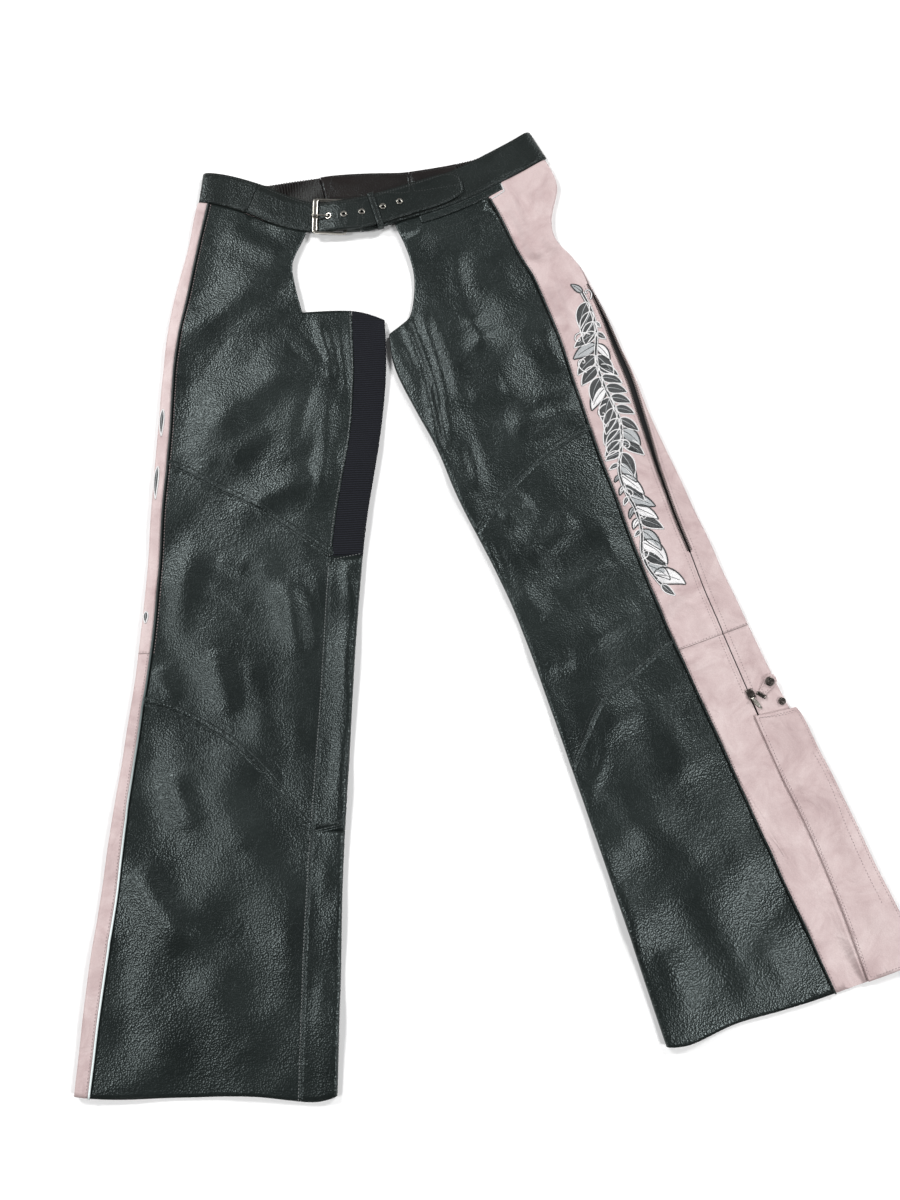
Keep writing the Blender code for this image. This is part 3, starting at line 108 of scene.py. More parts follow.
# %% Table of folds
# Columns: pixel x and y of one end, pixel x and y of the other, height and half width in mm.
FOLDS = (
    # right leg, thigh: two slanting rolls below the hip, and the pull towards the crotch
    (178, 342, 292, 257, 4.6, 18), (196, 438, 300, 358, 5.0, 19),
    (180, 398, 298, 310, -2.4, 15), (225, 232, 285, 258, 1.4, 12),
    (303, 322, 330, 368, -2.2, 5), (318, 325, 333, 380, 2.2, 6),
    (340, 330, 348, 400, 1.6, 6), (330, 400, 318, 500, 2.4, 9),
    (252, 505, 312, 476, 3.6, 13), (228, 462, 268, 430, 1.6, 10),
    (190, 440, 212, 470, 1.8, 12), (312, 386, 296, 440, -1.4, 7),
    # right leg, knee
    (286, 585, 302, 655, 4.0, 13), (262, 560, 286, 600, 2.0, 12),
    (190, 545, 176, 640, 2.8, 13), (218, 560, 246, 570, 1.6, 8),
    (208, 585, 250, 610, 1.4, 8), (214, 650, 232, 715, 2.6, 13),
    (250, 660, 262, 740, 1.8, 12), (160, 665, 172, 700, 1.4, 9),
    (306, 570, 314, 640, -1.0, 10), (345, 565, 352, 600, 1.8, 6),
    (348, 625, 343, 700, 1.6, 6), (342, 735, 338, 800, 1.8, 6),
    (305, 700, 296, 750, 1.0, 11),
    # right leg, shin
    (170, 770, 190, 830, 3.2, 14), (136, 868, 190, 946, 3.8, 14),
    (215, 780, 246, 850, 1.6, 18), (205, 970, 240, 1040, 1.5, 20),
    (255, 850, 280, 930, 1.5, 18), (298, 880, 284, 960, 1.0, 13),
    (325, 860, 322, 900, 1.2, 7), (322, 975, 318, 1030, 1.2, 7),
    (268, 1000, 250, 1060, 1.2, 16), (134, 970, 150, 1030, 1.1, 13),
    # left leg, thigh: the two long creases beside the crotch
    (405, 325, 424, 372, 2.8, 5), (424, 372, 438, 440, 2.6, 5),
    (412, 318, 434, 378, -1.8, 4), (434, 380, 446, 445, -1.8, 4),
    (423, 312, 450, 400, 2.4, 7), (396, 345, 430, 412, 1.6, 7),
    (470, 318, 486, 345, 2.8, 10), (468, 352, 500, 330, 1.6, 9),
    (540, 330, 560, 372, 2.4, 12), (508, 430, 582, 402, 3.8, 15),
    (470, 400, 505, 388, 2.0, 11), (455, 250, 462, 300, 1.8, 11),
    (490, 255, 520, 300, 1.6, 14), (468, 440, 480, 490, 2.0, 8),
    # left leg, knee
    (502, 520, 530, 500, 3.0, 11), (528, 560, 575, 520, 3.4, 14),
    (520, 590, 545, 620, 2.2, 10), (560, 600, 610, 560, 2.8, 14),
    (600, 520, 616, 560, 1.6, 10), (545, 665, 575, 660, 1.8, 9),
    (590, 640, 640, 610, 2.2, 12), (495, 540, 512, 590, -1.2, 6),
    # left leg, shin
    (592, 740, 640, 700, 2.2, 13), (600, 790, 630, 850, 2.6, 13),
    (650, 700, 690, 780, 2.4, 15), (640, 800, 700, 860, 2.0, 17),
    (620, 885, 640, 950, 2.0, 11), (690, 880, 740, 960, 2.4, 16),
    (665, 950, 690, 1010, 1.8, 13), (720, 800, 750, 870, 1.6, 12),
    (605, 745, 590, 800, 1.6, 7), (760, 940, 790, 985, 1.4, 10),
    # pale panel: crumples under the belt, then puckers from the piping
    (508, 196, 527, 236, 3.0, 6), (519, 192, 541, 226, -1.8, 5),
    (531, 186, 545, 214, 2.8, 6), (523, 243, 541, 258, 2.8, 6),
    (512, 222, 524, 252, -1.6, 5), (541, 236, 556, 252, 2.2, 5),
    (527, 262, 545, 262, -1.4, 5), (548, 276, 570, 330, 2.6, 6),
    (558, 268, 572, 292, -1.1, 4), (581, 372, 588, 400, 1.0, 4),
    (618, 470, 640, 522, 1.8, 6), (626, 520, 644, 512, -1.4, 5),
    (640, 560, 664, 548, 2.0, 5), (650, 588, 676, 572, -1.6, 5),
    (662, 606, 686, 590, 2.2, 6), (672, 622, 700, 610, -1.6, 5),
    (690, 600, 718, 640, 2.0, 7), (684, 655, 712, 668, 2.2, 6),
    (700, 690, 730, 684, 1.8, 6), (716, 720, 742, 712, -1.6, 5),
    (730, 760, 756, 752, 1.8, 6), (748, 800, 776, 790, 1.8, 6),
    (790, 760, 832, 850, 1.8, 9), (812, 800, 862, 905, -1.4, 8),
    (790, 880, 830, 960, 1.2, 8), (770, 850, 800, 845, 0.9, 5),
    (840, 860, 878, 930, 1.2, 8),
    (168, 350, 178, 380, 0.9, 5), (158, 450, 166, 476, -0.8, 4),
    (150, 560, 156, 600, 0.9, 4), (136, 690, 146, 712, 0.9, 4),
    (118, 800, 128, 826, -0.8, 4), (98, 930, 112, 946, 0.9, 5),
)
FOLD_ROWS = np.array([
    (*on_surface(ax, ay), *on_surface(bx, by), height / 1000, half_width / 1000)
    for ax, ay, bx, by, height, half_width in FOLDS
])
print("folds:", len(FOLD_ROWS))


FOLD_SCALE = 1.40            # the folds of a heavy leather are higher than they look
FOLD_SPREAD = 1.22           # and broader
DEEPEST = -0.0014            # a trough stops above the layer below
# Slow waves that no row above names. Columns: wavelength x and y in metres, phase, height.
WAVES = ((0.125, 0.210, 0.4, 0.00080), (-0.180, 0.125, 2.1, 0.00070),
         (0.082, -0.103, 4.0, 0.00038), (0.071, 0.270, 1.3, 0.00032),
         (-0.235, 0.076, 5.2, 0.00032), (0.052, 0.063, 3.1, 0.00012))


def fold_height(points):
    """Height of the folds at an array of points, in metres."""
    height = np.zeros(len(points))
    for wave_x, wave_y, phase, lift in WAVES:
        turn = 2 * math.pi * (points[:, 0] / wave_x + points[:, 1] / wave_y) + phase
        height += lift / FOLD_SCALE * np.sin(turn)
    for ax, ay, bx, by, lift, half_width in FOLD_ROWS:
        run = np.array((bx - ax, by - ay))
        gone = points[:, :2] - (ax, ay)
        share = np.clip(gone @ run / (run @ run), 0, 1)
        away = np.linalg.norm(gone - share[:, None] * run, axis=1)
        taper = 1 - 0.75 * (2 * share - 1) ** 4
        height += lift * taper * np.exp(-(away / half_width / FOLD_SPREAD) ** 2)
    return np.maximum(FOLD_SCALE * height, DEEPEST)


# %% [markdown]
# ## From solid to leather
#
# Each solid of the part is a coarse wall of leather. A copy of it is welded, its triangles
# are joined to four-sided faces, and a Subdivision Surface rounds it. Its rims are creased
# first, because a cut edge of leather stays crisp while the fold of a leg is round. The hard
# pieces are copied in the same way, with softer rims.

# %% Copy a solid as a fine mesh
BODY = "garment"
RIM_ANGLE = math.radians(62)          # a sharper edge than this is a cut edge of leather
METAL_RIM_ANGLE = math.radians(40)
METAL_RIM_CREASE = 0.7


def fine_copy(node, ending, levels, rim_angle, rim_crease, weld, join=False):
    """A rounded copy of a solid, whose rims are creased."""
    mesh = nodes[node].data.copy()
    bm = bmesh.new()
    bm.from_mesh(mesh)
    bmesh.ops.remove_doubles(bm, verts=bm.verts, dist=weld)
    if join:
        bmesh.ops.join_triangles(bm, faces=bm.faces, angle_face_threshold=math.radians(25),
                                 angle_shape_threshold=math.radians(60))
    crease = bm.edges.layers.float.get("crease_edge") or bm.edges.layers.float.new("crease_edge")
    for edge in bm.edges:
        if len(edge.link_faces) == 2 and edge.calc_face_angle(0.0) > rim_angle:
            edge[crease] = rim_crease
    bm.to_mesh(mesh)
    bm.free()
    piece = add_object(node + ending, mesh)
    rounding = piece.modifiers.new("Round", "SUBSURF")
    rounding.levels = rounding.render_levels = levels
    fine = bpy.data.meshes.new_from_object(
        piece.evaluated_get(bpy.context.evaluated_depsgraph_get()))
    piece.modifiers.clear()
    piece.data = fine
    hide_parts(node)
    return piece


# %% Press the folds into a shell
LOWER_LEATHER = 0.0014       # the height up to which a point belongs to the layer below
UPPER_LEATHER = 0.0034       # the height from which it belongs to the layer above
# Folds die out beside the hard pieces. Columns: x, y and reach in metres.
CALM_PLACES = [
    (*on_surface(757, 697), 0.060),       # the zip's slider
    (*on_surface(330, 218), 0.050),       # the buckle
    (*on_surface(450, 200), 0.040),       # the end of the belt's tongue
]


def calm(points):
    """How much of the folds is left at an array of points, from 0 to 1."""
    share = np.ones(len(points))
    for x, y, reach in CALM_PLACES:
        away = np.hypot(points[:, 0] - x, points[:, 1] - y) / reach
        share *= np.clip(away - 0.5, 0, 1)
    return share


def press_folds(mesh):
    count = len(mesh.vertices)
    points = np.empty(count * 3)
    mesh.vertices.foreach_get("co", points)
    points = points.reshape(count, 3)
    layer = np.clip((points[:, 2] - LOWER_LEATHER) / (UPPER_LEATHER - LOWER_LEATHER), 0, 1)
    points[:, 2] += layer * calm(points) * fold_height(points)
    mesh.vertices.foreach_set("co", points.ravel())


def shell(node, levels, folded):
    """A fine copy of a soft solid, with the folds in its upper layer where it is folded."""
    piece = fine_copy(node, "_leather", levels, RIM_ANGLE, 1.0, weld=0.00002, join=True)
    if folded:
        press_folds(piece.data)
    piece.data.shade_smooth()
    piece.data.set_sharp_from_angle(angle=math.radians(50))
    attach(piece, BODY)
    return piece


# %% [markdown]
# ## Leather and cloth
#
# Real leather is never one colour. The black leather is a dark green-grey with a pebbled
# grain that catches soft light on its tops; the pale leather is mottled, with fine cracks.
# Voronoi cells make both, and noise makes the wider unevenness. All of it is read from
# object coordinates, so the grain keeps its size on every piece.

# %% Helpers for node materials
def new_material(name, colour, roughness, metallic=0.0):
    made = bpy.data.materials.new(name)
    made.use_nodes = True
    shader = made.node_tree.nodes["Principled BSDF"]
    shader.inputs["Base Color"].default_value = (*colour, 1.0)
    shader.inputs["Roughness"].default_value = roughness
    shader.inputs["Metallic"].default_value = metallic
    return made, shader


def add_node(material, kind, inputs=None, **settings):
    node = material.node_tree.nodes.new(kind)
    for key, value in settings.items():
        setattr(node, key, value)
    for key, value in (inputs or {}).items():
        if isinstance(value, bpy.types.NodeSocket):
            material.node_tree.links.new(value, node.inputs[key])
        else:
            node.inputs[key].default_value = value
    return node


def link(material, output, target):
    material.node_tree.links.new(output, target)


def place_node(material):
    return add_node(material, "ShaderNodeTexCoord").outputs["Object"]


def ramp(material, source, stops):
    """A colour ramp through (place, colour) stops."""
    node = add_node(material, "ShaderNodeValToRGB", {"Fac": source})
    elements = node.color_ramp.elements
    while len(elements) < len(stops):
        elements.new(0.5)
    for element, (place, colour) in zip(elements, stops):
        element.position = place
        element.color = (*colour, 1.0)
    return node.outputs["Color"]


def bump(material, height, strength, distance, below=None):
    """A bump on top of another one, if that is given as below."""
    inputs = {"Height": height, "Strength": strength, "Distance": distance}
    if below:
        inputs["Normal"] = below
    return add_node(material, "ShaderNodeBump", inputs).outputs["Normal"]


# %% Black pebbled leather
# Strength and depth in metres of the three sizes of unevenness, from the widest.
WIDE_BUMP, WRINKLE_BUMP, PEBBLE_BUMP = (0.22, 0.008), (0.42, 0.0016), (0.50, 0.0008)
PEBBLES_PER_METRE = 500.0
LEATHER_TINT = (0.86, 1.0, 1.0, 1.0)  # its highlights are a little green
GLOSSY, WORN = (0.30,) * 3, (0.40,) * 3       # the range of roughness


def make_black_leather(name, dark, light, sheen_colour, specular):
    material, shader = new_material(name, light, 0.42)
    shader.inputs["Specular IOR Level"].default_value = specular
    shader.inputs["Specular Tint"].default_value = LEATHER_TINT
    place = place_node(material)
    patches = add_node(material, "ShaderNodeTexNoise",
                       {"Vector": place, "Scale": 9.0, "Detail": 4.0, "Roughness": 0.6})
    colour = ramp(material, patches.outputs["Fac"], [(0.32, dark), (0.70, light)])
    link(material, colour, shader.inputs["Base Color"])
    pebbles = add_node(material, "ShaderNodeTexVoronoi",
                       {"Vector": place, "Scale": PEBBLES_PER_METRE})
    wrinkles = add_node(material, "ShaderNodeTexNoise",
                        {"Vector": place, "Scale": 55.0, "Detail": 5.0, "Distortion": 0.6})
    wide = add_node(material, "ShaderNodeTexNoise",
                    {"Vector": place, "Scale": 16.0, "Detail": 3.0})
    first = bump(material, wide.outputs["Fac"], *WIDE_BUMP)
    second = bump(material, wrinkles.outputs["Fac"], *WRINKLE_BUMP, first)
    third = bump(material, pebbles.outputs["Distance"], *PEBBLE_BUMP, second)
    link(material, third, shader.inputs["Normal"])
    gloss = ramp(material, patches.outputs["Fac"], [(0.30, GLOSSY), (0.72, WORN)])
    link(material, gloss, shader.inputs["Roughness"])
    shader.inputs["Sheen Weight"].default_value = 0.04
    shader.inputs["Sheen Tint"].default_value = (*sheen_colour, 1.0)
    return material


black_leather = make_black_leather("black_leather", (0.0040, 0.0058, 0.0055),
                                   (0.0085, 0.0118, 0.0110), (0.7, 0.85, 0.8), 0.46)
belt_leather = make_black_leather("belt_leather", (0.0080, 0.0100, 0.0095),
                                  (0.0120, 0.0150, 0.0142), (0.8, 0.85, 0.8), 0.26)
lining_leather = make_black_leather("lining_leather", (0.0100, 0.0080, 0.0078),
                                    (0.0180, 0.0140, 0.0130), (0.8, 0.7, 0.7), 0.24)


# %% Pale mottled leather
def make_pale_leather():
    material, shader = new_material("pale_leather", (0.58, 0.45, 0.45), 0.55)
    place = place_node(material)
    patches = add_node(material, "ShaderNodeTexNoise",
                       {"Vector": place, "Scale": 22.0, "Detail": 6.0, "Roughness": 0.65,
                        "Distortion": 0.8})
    colour = ramp(material, patches.outputs["Fac"],
                  [(0.28, (0.40, 0.292, 0.292)), (0.48, (0.50, 0.390, 0.386)),
                   (0.72, (0.60, 0.497, 0.488))])
    cracks = add_node(material, "ShaderNodeTexVoronoi",
                      {"Vector": place, "Scale": 430.0}, feature="DISTANCE_TO_EDGE")
    lines = ramp(material, cracks.outputs["Distance"],
                 [(0.0, (0.80, 0.76, 0.76)), (0.10, (1, 1, 1))])
    mix = add_node(material, "ShaderNodeMix", {"Factor": 0.35}, data_type="RGBA",
                   blend_type="MULTIPLY")
    link(material, colour, mix.inputs[6])
    link(material, lines, mix.inputs[7])
    link(material, mix.outputs[2], shader.inputs["Base Color"])
    wide = add_node(material, "ShaderNodeTexNoise",
                    {"Vector": place, "Scale": 34.0, "Detail": 5.0, "Distortion": 1.0})
    first = bump(material, wide.outputs["Fac"], 0.5, 0.004)
    second = bump(material, cracks.outputs["Distance"], 0.30, 0.0006, first)
    link(material, second, shader.inputs["Normal"])
    return material


pale_leather = make_pale_leather()


# %% Ribbed stretch cloth and metals
def make_stretch():
    material, shader = new_material("ribbed_stretch", (0.012, 0.013, 0.018), 0.8)
    place = place_node(material)
    ribs = add_node(material, "ShaderNodeTexWave",
                    {"Vector": place, "Scale": 115.0, "Distortion": 0.5, "Detail": 1.0,
                     "Detail Scale": 6.0}, bands_direction="Y")
    # the grooves between the ribs are painted darker than the crests: painted shade
    colour = ramp(material, ribs.outputs["Fac"],
                  [(0.2, (0.0025, 0.003, 0.0045)), (0.8, (0.011, 0.012, 0.018))])
    link(material, colour, shader.inputs["Base Color"])
    link(material, bump(material, ribs.outputs["Fac"], 0.8, 0.0008), shader.inputs["Normal"])
    shader.inputs["Specular IOR Level"].default_value = 0.2
    return material


def make_metal(name, colour, worn, roughness):
    material, shader = new_material(name, colour, roughness, 1.0)
    place = place_node(material)
    grain = add_node(material, "ShaderNodeTexNoise",
                     {"Vector": place, "Scale": 320.0, "Detail": 6.0, "Roughness": 0.7})
    tint = ramp(material, grain.outputs["Fac"], [(0.35, worn), (0.65, colour)])
    link(material, tint, shader.inputs["Base Color"])
    link(material, bump(material, grain.outputs["Fac"], 0.25, 0.0003), shader.inputs["Normal"])
    return material


def make_piping_with_painted_highlight():
    """Black piping with a painted highlight: its colour turns pale towards the hem."""
    material, shader = new_material("worn_piping", (0.02, 0.024, 0.024), 0.45)
    height = add_node(material, "ShaderNodeSeparateXYZ", {"Vector": place_node(material)})
    highlight_share = add_node(material, "ShaderNodeMapRange",
                    {"Value": height.outputs["Y"], "From Min": -0.02, "From Max": -0.34})
    # the ramp turns pale towards the hem: a painted highlight along the lower piping
    colour = ramp(material, highlight_share.outputs["Result"],
                  [(0.0, (0.014, 0.018, 0.018)), (0.45, (0.10, 0.13, 0.13)),
                   (1.0, (0.72, 0.80, 0.80))])
    link(material, colour, shader.inputs["Base Color"])
    return material


worn_piping = make_piping_with_painted_highlight()
ribbed_stretch = make_stretch()
pewter = make_metal("pewter", (0.60, 0.58, 0.53), (0.36, 0.34, 0.30), 0.30)
gunmetal = make_metal("gunmetal", (0.13, 0.115, 0.105), (0.05, 0.045, 0.042), 0.36)
tape_cloth, _ = new_material("tape_cloth", (0.006, 0.006, 0.007), 0.85)


# %% [markdown]
# ## The leather pieces
#
# Every sewn solid gets its shell and its finish. What shows from above is subdivided three
# times, the belt and the underside, which lie flat, twice, and the shirred waistband, which
# gets ribs of its own, four times.

# %% Dress every solid
FINISHES = {
    "tape": tape_cloth, "stretch": ribbed_stretch, "elastic": lining_leather,
    "belt_back": lining_leather, "belt": belt_leather, "buckle_loop": belt_leather,
    "side": pale_leather, "flap": pale_leather, "zip_tab": pale_leather,
    # the right leg's piping carries a painted highlight near the hem
    "right_piping": worn_piping,
}
HARD_NODES = {
    "buckle_frame": pewter, "buckle_prong": pewter, "zip_pull": pewter,
    "zip_slider": gunmetal, "tab_clamp": gunmetal, "snap_tab": gunmetal, "snap_side": gunmetal,
    **{f"eyelet_{k}": pewter for k in range(1, 6)},
}


def dress(piece, finish):
    piece.data.materials.clear()
    piece.data.materials.append(finish)


def cast_metal(node, finish):
    """A hard piece: its rims are softened and its turned faces made round."""
    piece = fine_copy(node, "_metal", 2, METAL_RIM_ANGLE, METAL_RIM_CREASE, weld=0.00001)
    piece.data.shade_smooth()
    piece.data.set_sharp_from_angle(angle=math.radians(60))
    dress(piece, finish)
    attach(piece, "zip_pull" if node == "zip_pull" else BODY)


pieces = {}
for node in sorted(nodes):
    if node in HARD_NODES:
        cast_metal(node, HARD_NODES[node])
        continue
    levels = 2 if any(word in node for word in ("back", "belt", "tape")) else 3
    levels = 4 if "elastic" in node else levels
    folded = not any(word in node for word in ("belt", "buckle", "welt"))
    piece = shell(node, levels, folded)
    finish = next((f for key, f in FINISHES.items() if key in node), black_leather)
    dress(piece, finish)
    pieces[node] = piece
print("shells:", len(pieces), "faces:", sum(len(p.data.polygons) for p in pieces.values()))


# %% Gathered ribs of the elastic in the back waistband
RIB_PITCH, RIB_DEPTH = 0.0034, 0.0011


def spread_along(points):
    """Where points of the plan lie along their two main directions, the longest first."""
    centred = points - points.mean(axis=0)
    return centred @ np.linalg.svd(centred, full_matrices=False)[2].T


for node in ("belt_elastic_left", "belt_elastic_right"):
    mesh = pieces[node].data
    points = np.array([tuple(v.co) for v in mesh.vertices])
    along = spread_along(points[:, :2])[:, 0]
    low, high = points[:, 2].min(), points[:, 2].max()
    upper = points[:, 2] > 0.5 * (low + high)
    rib = 0.5 + 0.5 * np.sin(2 * math.pi * along[upper] / RIB_PITCH)
    points[upper, 2] -= RIB_DEPTH * rib ** 2
    mesh.vertices.foreach_set("co", points.ravel())
    mesh.update()
    print(node, "ribs:", int(np.ptp(along) / RIB_PITCH))


# %% [markdown]
# ## Cut sizes
#
# Each leather or cloth piece was cut flat before it was sewn. The solid is a closed wall, so
# half its area is the area of the cut. Its length is taken along the piece, and its width
# is what it takes to hold that area where the piece goes round a fold.

RESTS_ON = {"front_thigh": "back_upper", "front_knee": "back_upper", "front_shin": "back_lower",
            "side_front_upper": "side_back_upper", "side_front_lower": "side_back_lower",
            "stretch_panel": "back_upper", "flap": "side_front_lower",
            "pocket_welt": "front_thigh", "zip_tape": "side_back_upper"}


def cut_of(node):
    """Width, length and area of the flat cut of a solid, in metres."""
    points = np.array([tuple(v.co) for v in nodes[node].data.vertices])[:, :2]
    spans = np.ptp(spread_along(points), axis=0)
    area = 0.5 * sum(p.area for p in nodes[node].data.polygons)
    return max(spans[1], 1.02 * area / spans[0]), spans[0], area


for node, piece in pieces.items():
    if "piping" in node:
        continue
    width, length, area = (round(float(value), 5) for value in cut_of(node))
    below = next((f"{node.split('_')[0]}_{under}" for part, under in RESTS_ON.items()
                  if node.endswith(part)), None)
    print(f"{node}: {1000 * width:.0f} x {1000 * length:.0f} mm, {area:.4f} m2")

# %% [markdown]
# ## Paths on the leather
#
# Stitches, seams, teeth and embroidery all follow paths that lie on the leather. A path is
# drawn flat, as seen from above, and dropped on the shells by a ray. Paths come from two
# places: the rim where two solids meet, and rows of pixels in the photograph.

# %% Drop a point on the leather
RAY_START = 0.06


def gather(parts):
    """Many parts as one list of points and one of faces."""
    points, faces = [], []
    for some_points, some_faces in parts:
        first = len(points)
        points.extend(some_points)
        faces.extend(tuple(first + k for k in face) for face in some_faces)
    return points, faces


def tree_of(*meshes):
    """One search tree of meshes."""
    return BVHTree.FromPolygons(*gather(
        ([v.co.copy() for v in mesh.vertices], [p.vertices for p in mesh.polygons])
        for mesh in meshes))


def drop(tree, x, y):
    """Where a ray straight down first meets a tree, and which way that surface faces."""
    return tree.ray_cast(Vector((x, y, RAY_START)), Vector((0, 0, -1)))[:2]


leather = tree_of(*(piece.data for piece in pieces.values()))


def top_of(x, y):
    """The highest leather under a point of the plan, and which way it faces."""
    return drop(leather, x, y)


print("leather at the left knee:", top_of(*on_surface(560, 600))[0])


# %% Work with paths
def resample(path, step):
    """The same path with its points evenly spaced."""
    path = np.asarray([tuple(p)[:2] for p in path], float)
    gone = np.concatenate([[0], np.cumsum(np.linalg.norm(np.diff(path, axis=0), axis=1))])
    at = np.linspace(0, gone[-1], max(int(round(gone[-1] / step)), 2) + 1)
    return np.column_stack([np.interp(at, gone, path[:, k]) for k in (0, 1)])


def rounded(path, rounds=3):
    """The path with its corners cut again and again, which makes it a smooth curve."""
    path = np.asarray([tuple(p)[:2] for p in path], float)
    for _ in range(rounds):
        near, far = path[:-1] * 0.75 + path[1:] * 0.25, path[:-1] * 0.25 + path[1:] * 0.75
        path = np.vstack([path[:1], np.stack([near, far], 1).reshape(-1, 2), path[-1:]])
    return path


def left_of(path):
    """The direction to the left of a path's run, one unit long at each of its points."""
    run = np.gradient(path, axis=0)
    side = np.column_stack([-run[:, 1], run[:, 0]])
    return side / np.maximum(np.linalg.norm(side, axis=1), 1e-9)[:, None]


def beside(path, away, step=0.002):
    """The path moved sideways: to the left of its run where away is positive."""
    path = resample(path, step)
    return path + away * left_of(path)


def photo_path(*pixels):
    """A smooth path through pixels of the photograph, given as x, y, x, y and so on."""
    return rounded([on_surface(x, y) for x, y in zip(pixels[::2], pixels[1::2])])


OUTER_FACE = 0.0042          # points above this height belong to the outer face


def seam_between(first, second, reach=0.0014):
    """The outer rim of one solid where it meets another, as a path in order."""
    tree = tree_of(nodes[second].data)
    rim = np.array([(v.co.x, v.co.y) for v in nodes[first].data.vertices
                    if v.co.z > OUTER_FACE and tree.find_nearest(v.co, reach)[0]])
    if len(rim) < 3:
        print("no seam in the upper layer:", first, second)
        return np.empty((0, 2))
    along = spread_along(rim)[:, 0]
    order = np.argsort(along)
    rim, along = rim[order], along[order]
    groups = np.split(np.arange(len(rim)), np.flatnonzero(np.diff(along) > 0.0015) + 1)
    return np.array([rim[group].mean(axis=0) for group in groups])


def towards(path, node, away):
    """The path moved by a distance towards the middle of a solid."""
    if len(path) < 2:
        return path
    middle = np.mean([tuple(v.co)[:2] for v in nodes[node].data.vertices], axis=0)
    moved = (beside(path, away), beside(path, -away))
    return min(moved, key=lambda p: np.linalg.norm(p - middle, axis=1).mean())


def outline_of(node):
    """The rim of a solid's upper face, as a closed path."""
    bm = bmesh.new()
    bm.from_mesh(nodes[node].data)
    bmesh.ops.remove_doubles(bm, verts=bm.verts, dist=0.00002)
    bm.normal_update()
    rim = [edge for edge in bm.edges
           if sum(face.normal.z > 0.45 for face in edge.link_faces) == 1]
    beyond = {}
    for edge in rim:
        for here, there in (edge.verts, reversed(edge.verts)):
            beyond.setdefault(here.index, []).append((there.index, there.co.copy()))
    path, seen, here = [], set(), max(rim, key=lambda e: e.verts[0].co.z).verts[0].index
    while here is not None:
        seen.add(here)
        step = next(((k, co) for k, co in beyond[here] if k not in seen), None)
        here = step[0] if step else None
        if step:
            path.append((step[1].x, step[1].y))
    bm.free()
    return np.array(path + path[:1])


def inside(outline, away):
    """A closed path inside an outline, left open where a corner is too tight."""
    outline = resample(outline, 0.0012)
    area = 0.5 * np.sum(outline[:-1, 0] * outline[1:, 1] - outline[1:, 0] * outline[:-1, 1])
    moved = beside(outline, away if area > 0 else -away, 0.0012)
    apart = np.linalg.norm(moved[:, None] - outline[None], axis=2).min(axis=1)
    return moved[apart > 0.93 * away]


# %% [markdown]
# ## Stitches
#
# Every seam is held by thread that shows as a row of short dashes. Each dash here is a small
# closed capsule that sinks into the leather at both ends. A row could be an array on a
# curve, but a row written straight into one mesh is lighter and follows the folds exactly.

# %% Stitch helpers
STITCH_LENGTH, STITCH_PITCH = 0.0026, 0.0035
STITCH_WIDTH, STITCH_HEIGHT = 0.00042, 0.00034


def capsule(sides=5):
    """Points and faces of one stitch, one unit long, one wide and one high."""
    stations = ((-0.5, 0.10, -1.2), (-0.28, 0.9, 0.0), (0.28, 0.9, 0.0), (0.5, 0.10, -1.2))
    points = [(x, wide * math.cos(2 * math.pi * k / sides),
               low + wide * math.sin(2 * math.pi * k / sides))
              for x, wide, low in stations for k in range(sides)]
    faces = [(r * sides + k, (r + 1) * sides + k, (r + 1) * sides + (k + 1) % sides,
              r * sides + (k + 1) % sides) for r in range(3) for k in range(sides)]
    faces += [tuple(range(sides)), tuple(reversed(range(3 * sides, 4 * sides)))]
    return np.array(points), faces


CAPSULE_POINTS, CAPSULE_FACES = capsule()


def sew(rows, thick=1.0):
    """Stitches along many paths, as one list of points and one of faces."""
    stitches = []
    for row in rows:
        if len(row) < 2:
            continue
        row = resample(row, STITCH_PITCH)
        for start, end in zip(row[:-1], row[1:]):
            if np.linalg.norm(end - start) > 2 * STITCH_PITCH:
                continue
            place, facing = top_of(*(start + end) / 2)
            if place is None or facing.z < 0.35:
                continue
            run = Vector((*(end - start), 0)).normalized()
            side = facing.cross(run).normalized()
            run = side.cross(facing)
            axes = np.array([run * STITCH_LENGTH, side * STITCH_WIDTH * thick,
                             facing * STITCH_HEIGHT * thick])
            stitches.append((CAPSULE_POINTS @ axes + np.array(place), CAPSULE_FACES))
    return gather(stitches)


def add_piece(name, points, faces, finish, slot):
    """A mesh of the garment, with its finish. Its slot argument is not used."""
    mesh = bpy.data.meshes.new(name)
    mesh.from_pydata([tuple(p) for p in points], [], faces)
    mesh.materials.append(finish)
    mesh.shade_smooth()
    piece = add_object(name, mesh)
    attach(piece, BODY)
    print(name, "faces:", len(mesh.polygons))


def make_thread(name, colour, roughness):
    """Twisted thread: fine slanting bands of light and shade."""
    material, shader = new_material(name, colour, roughness)
    twist = add_node(material, "ShaderNodeTexWave",
                     {"Vector": place_node(material), "Scale": 900.0}, bands_direction="DIAGONAL")
    shade = tuple(0.55 * c for c in colour)
    link(material, ramp(material, twist.outputs["Fac"], [(0.2, shade), (0.7, colour)]),
         shader.inputs["Base Color"])
    link(material, bump(material, twist.outputs["Fac"], 0.5, 0.0002), shader.inputs["Normal"])
    return material


black_thread = make_thread("black_thread", (0.040, 0.046, 0.046), 0.5)
grey_thread = make_thread("grey_thread", (0.24, 0.25, 0.25), 0.55)
pink_thread = make_thread("pink_thread", (0.42, 0.33, 0.33), 0.6)
white_thread = make_thread("white_thread", (0.74, 0.72, 0.72), 0.5)


# %% [markdown]
# ## Strips that lie on the leather
#
# A seam with its allowance turned under is a little thicker than the leather beside it, and
# embroidery stands up as satin ribs. Both are low strips: a row of cross-sections is dropped
# on the leather along a path, each one crowned in the middle and sunk at its edges.

# %% Loft a low strip along a path
SUNK = 0.00025               # how far a strip's edges go into the leather


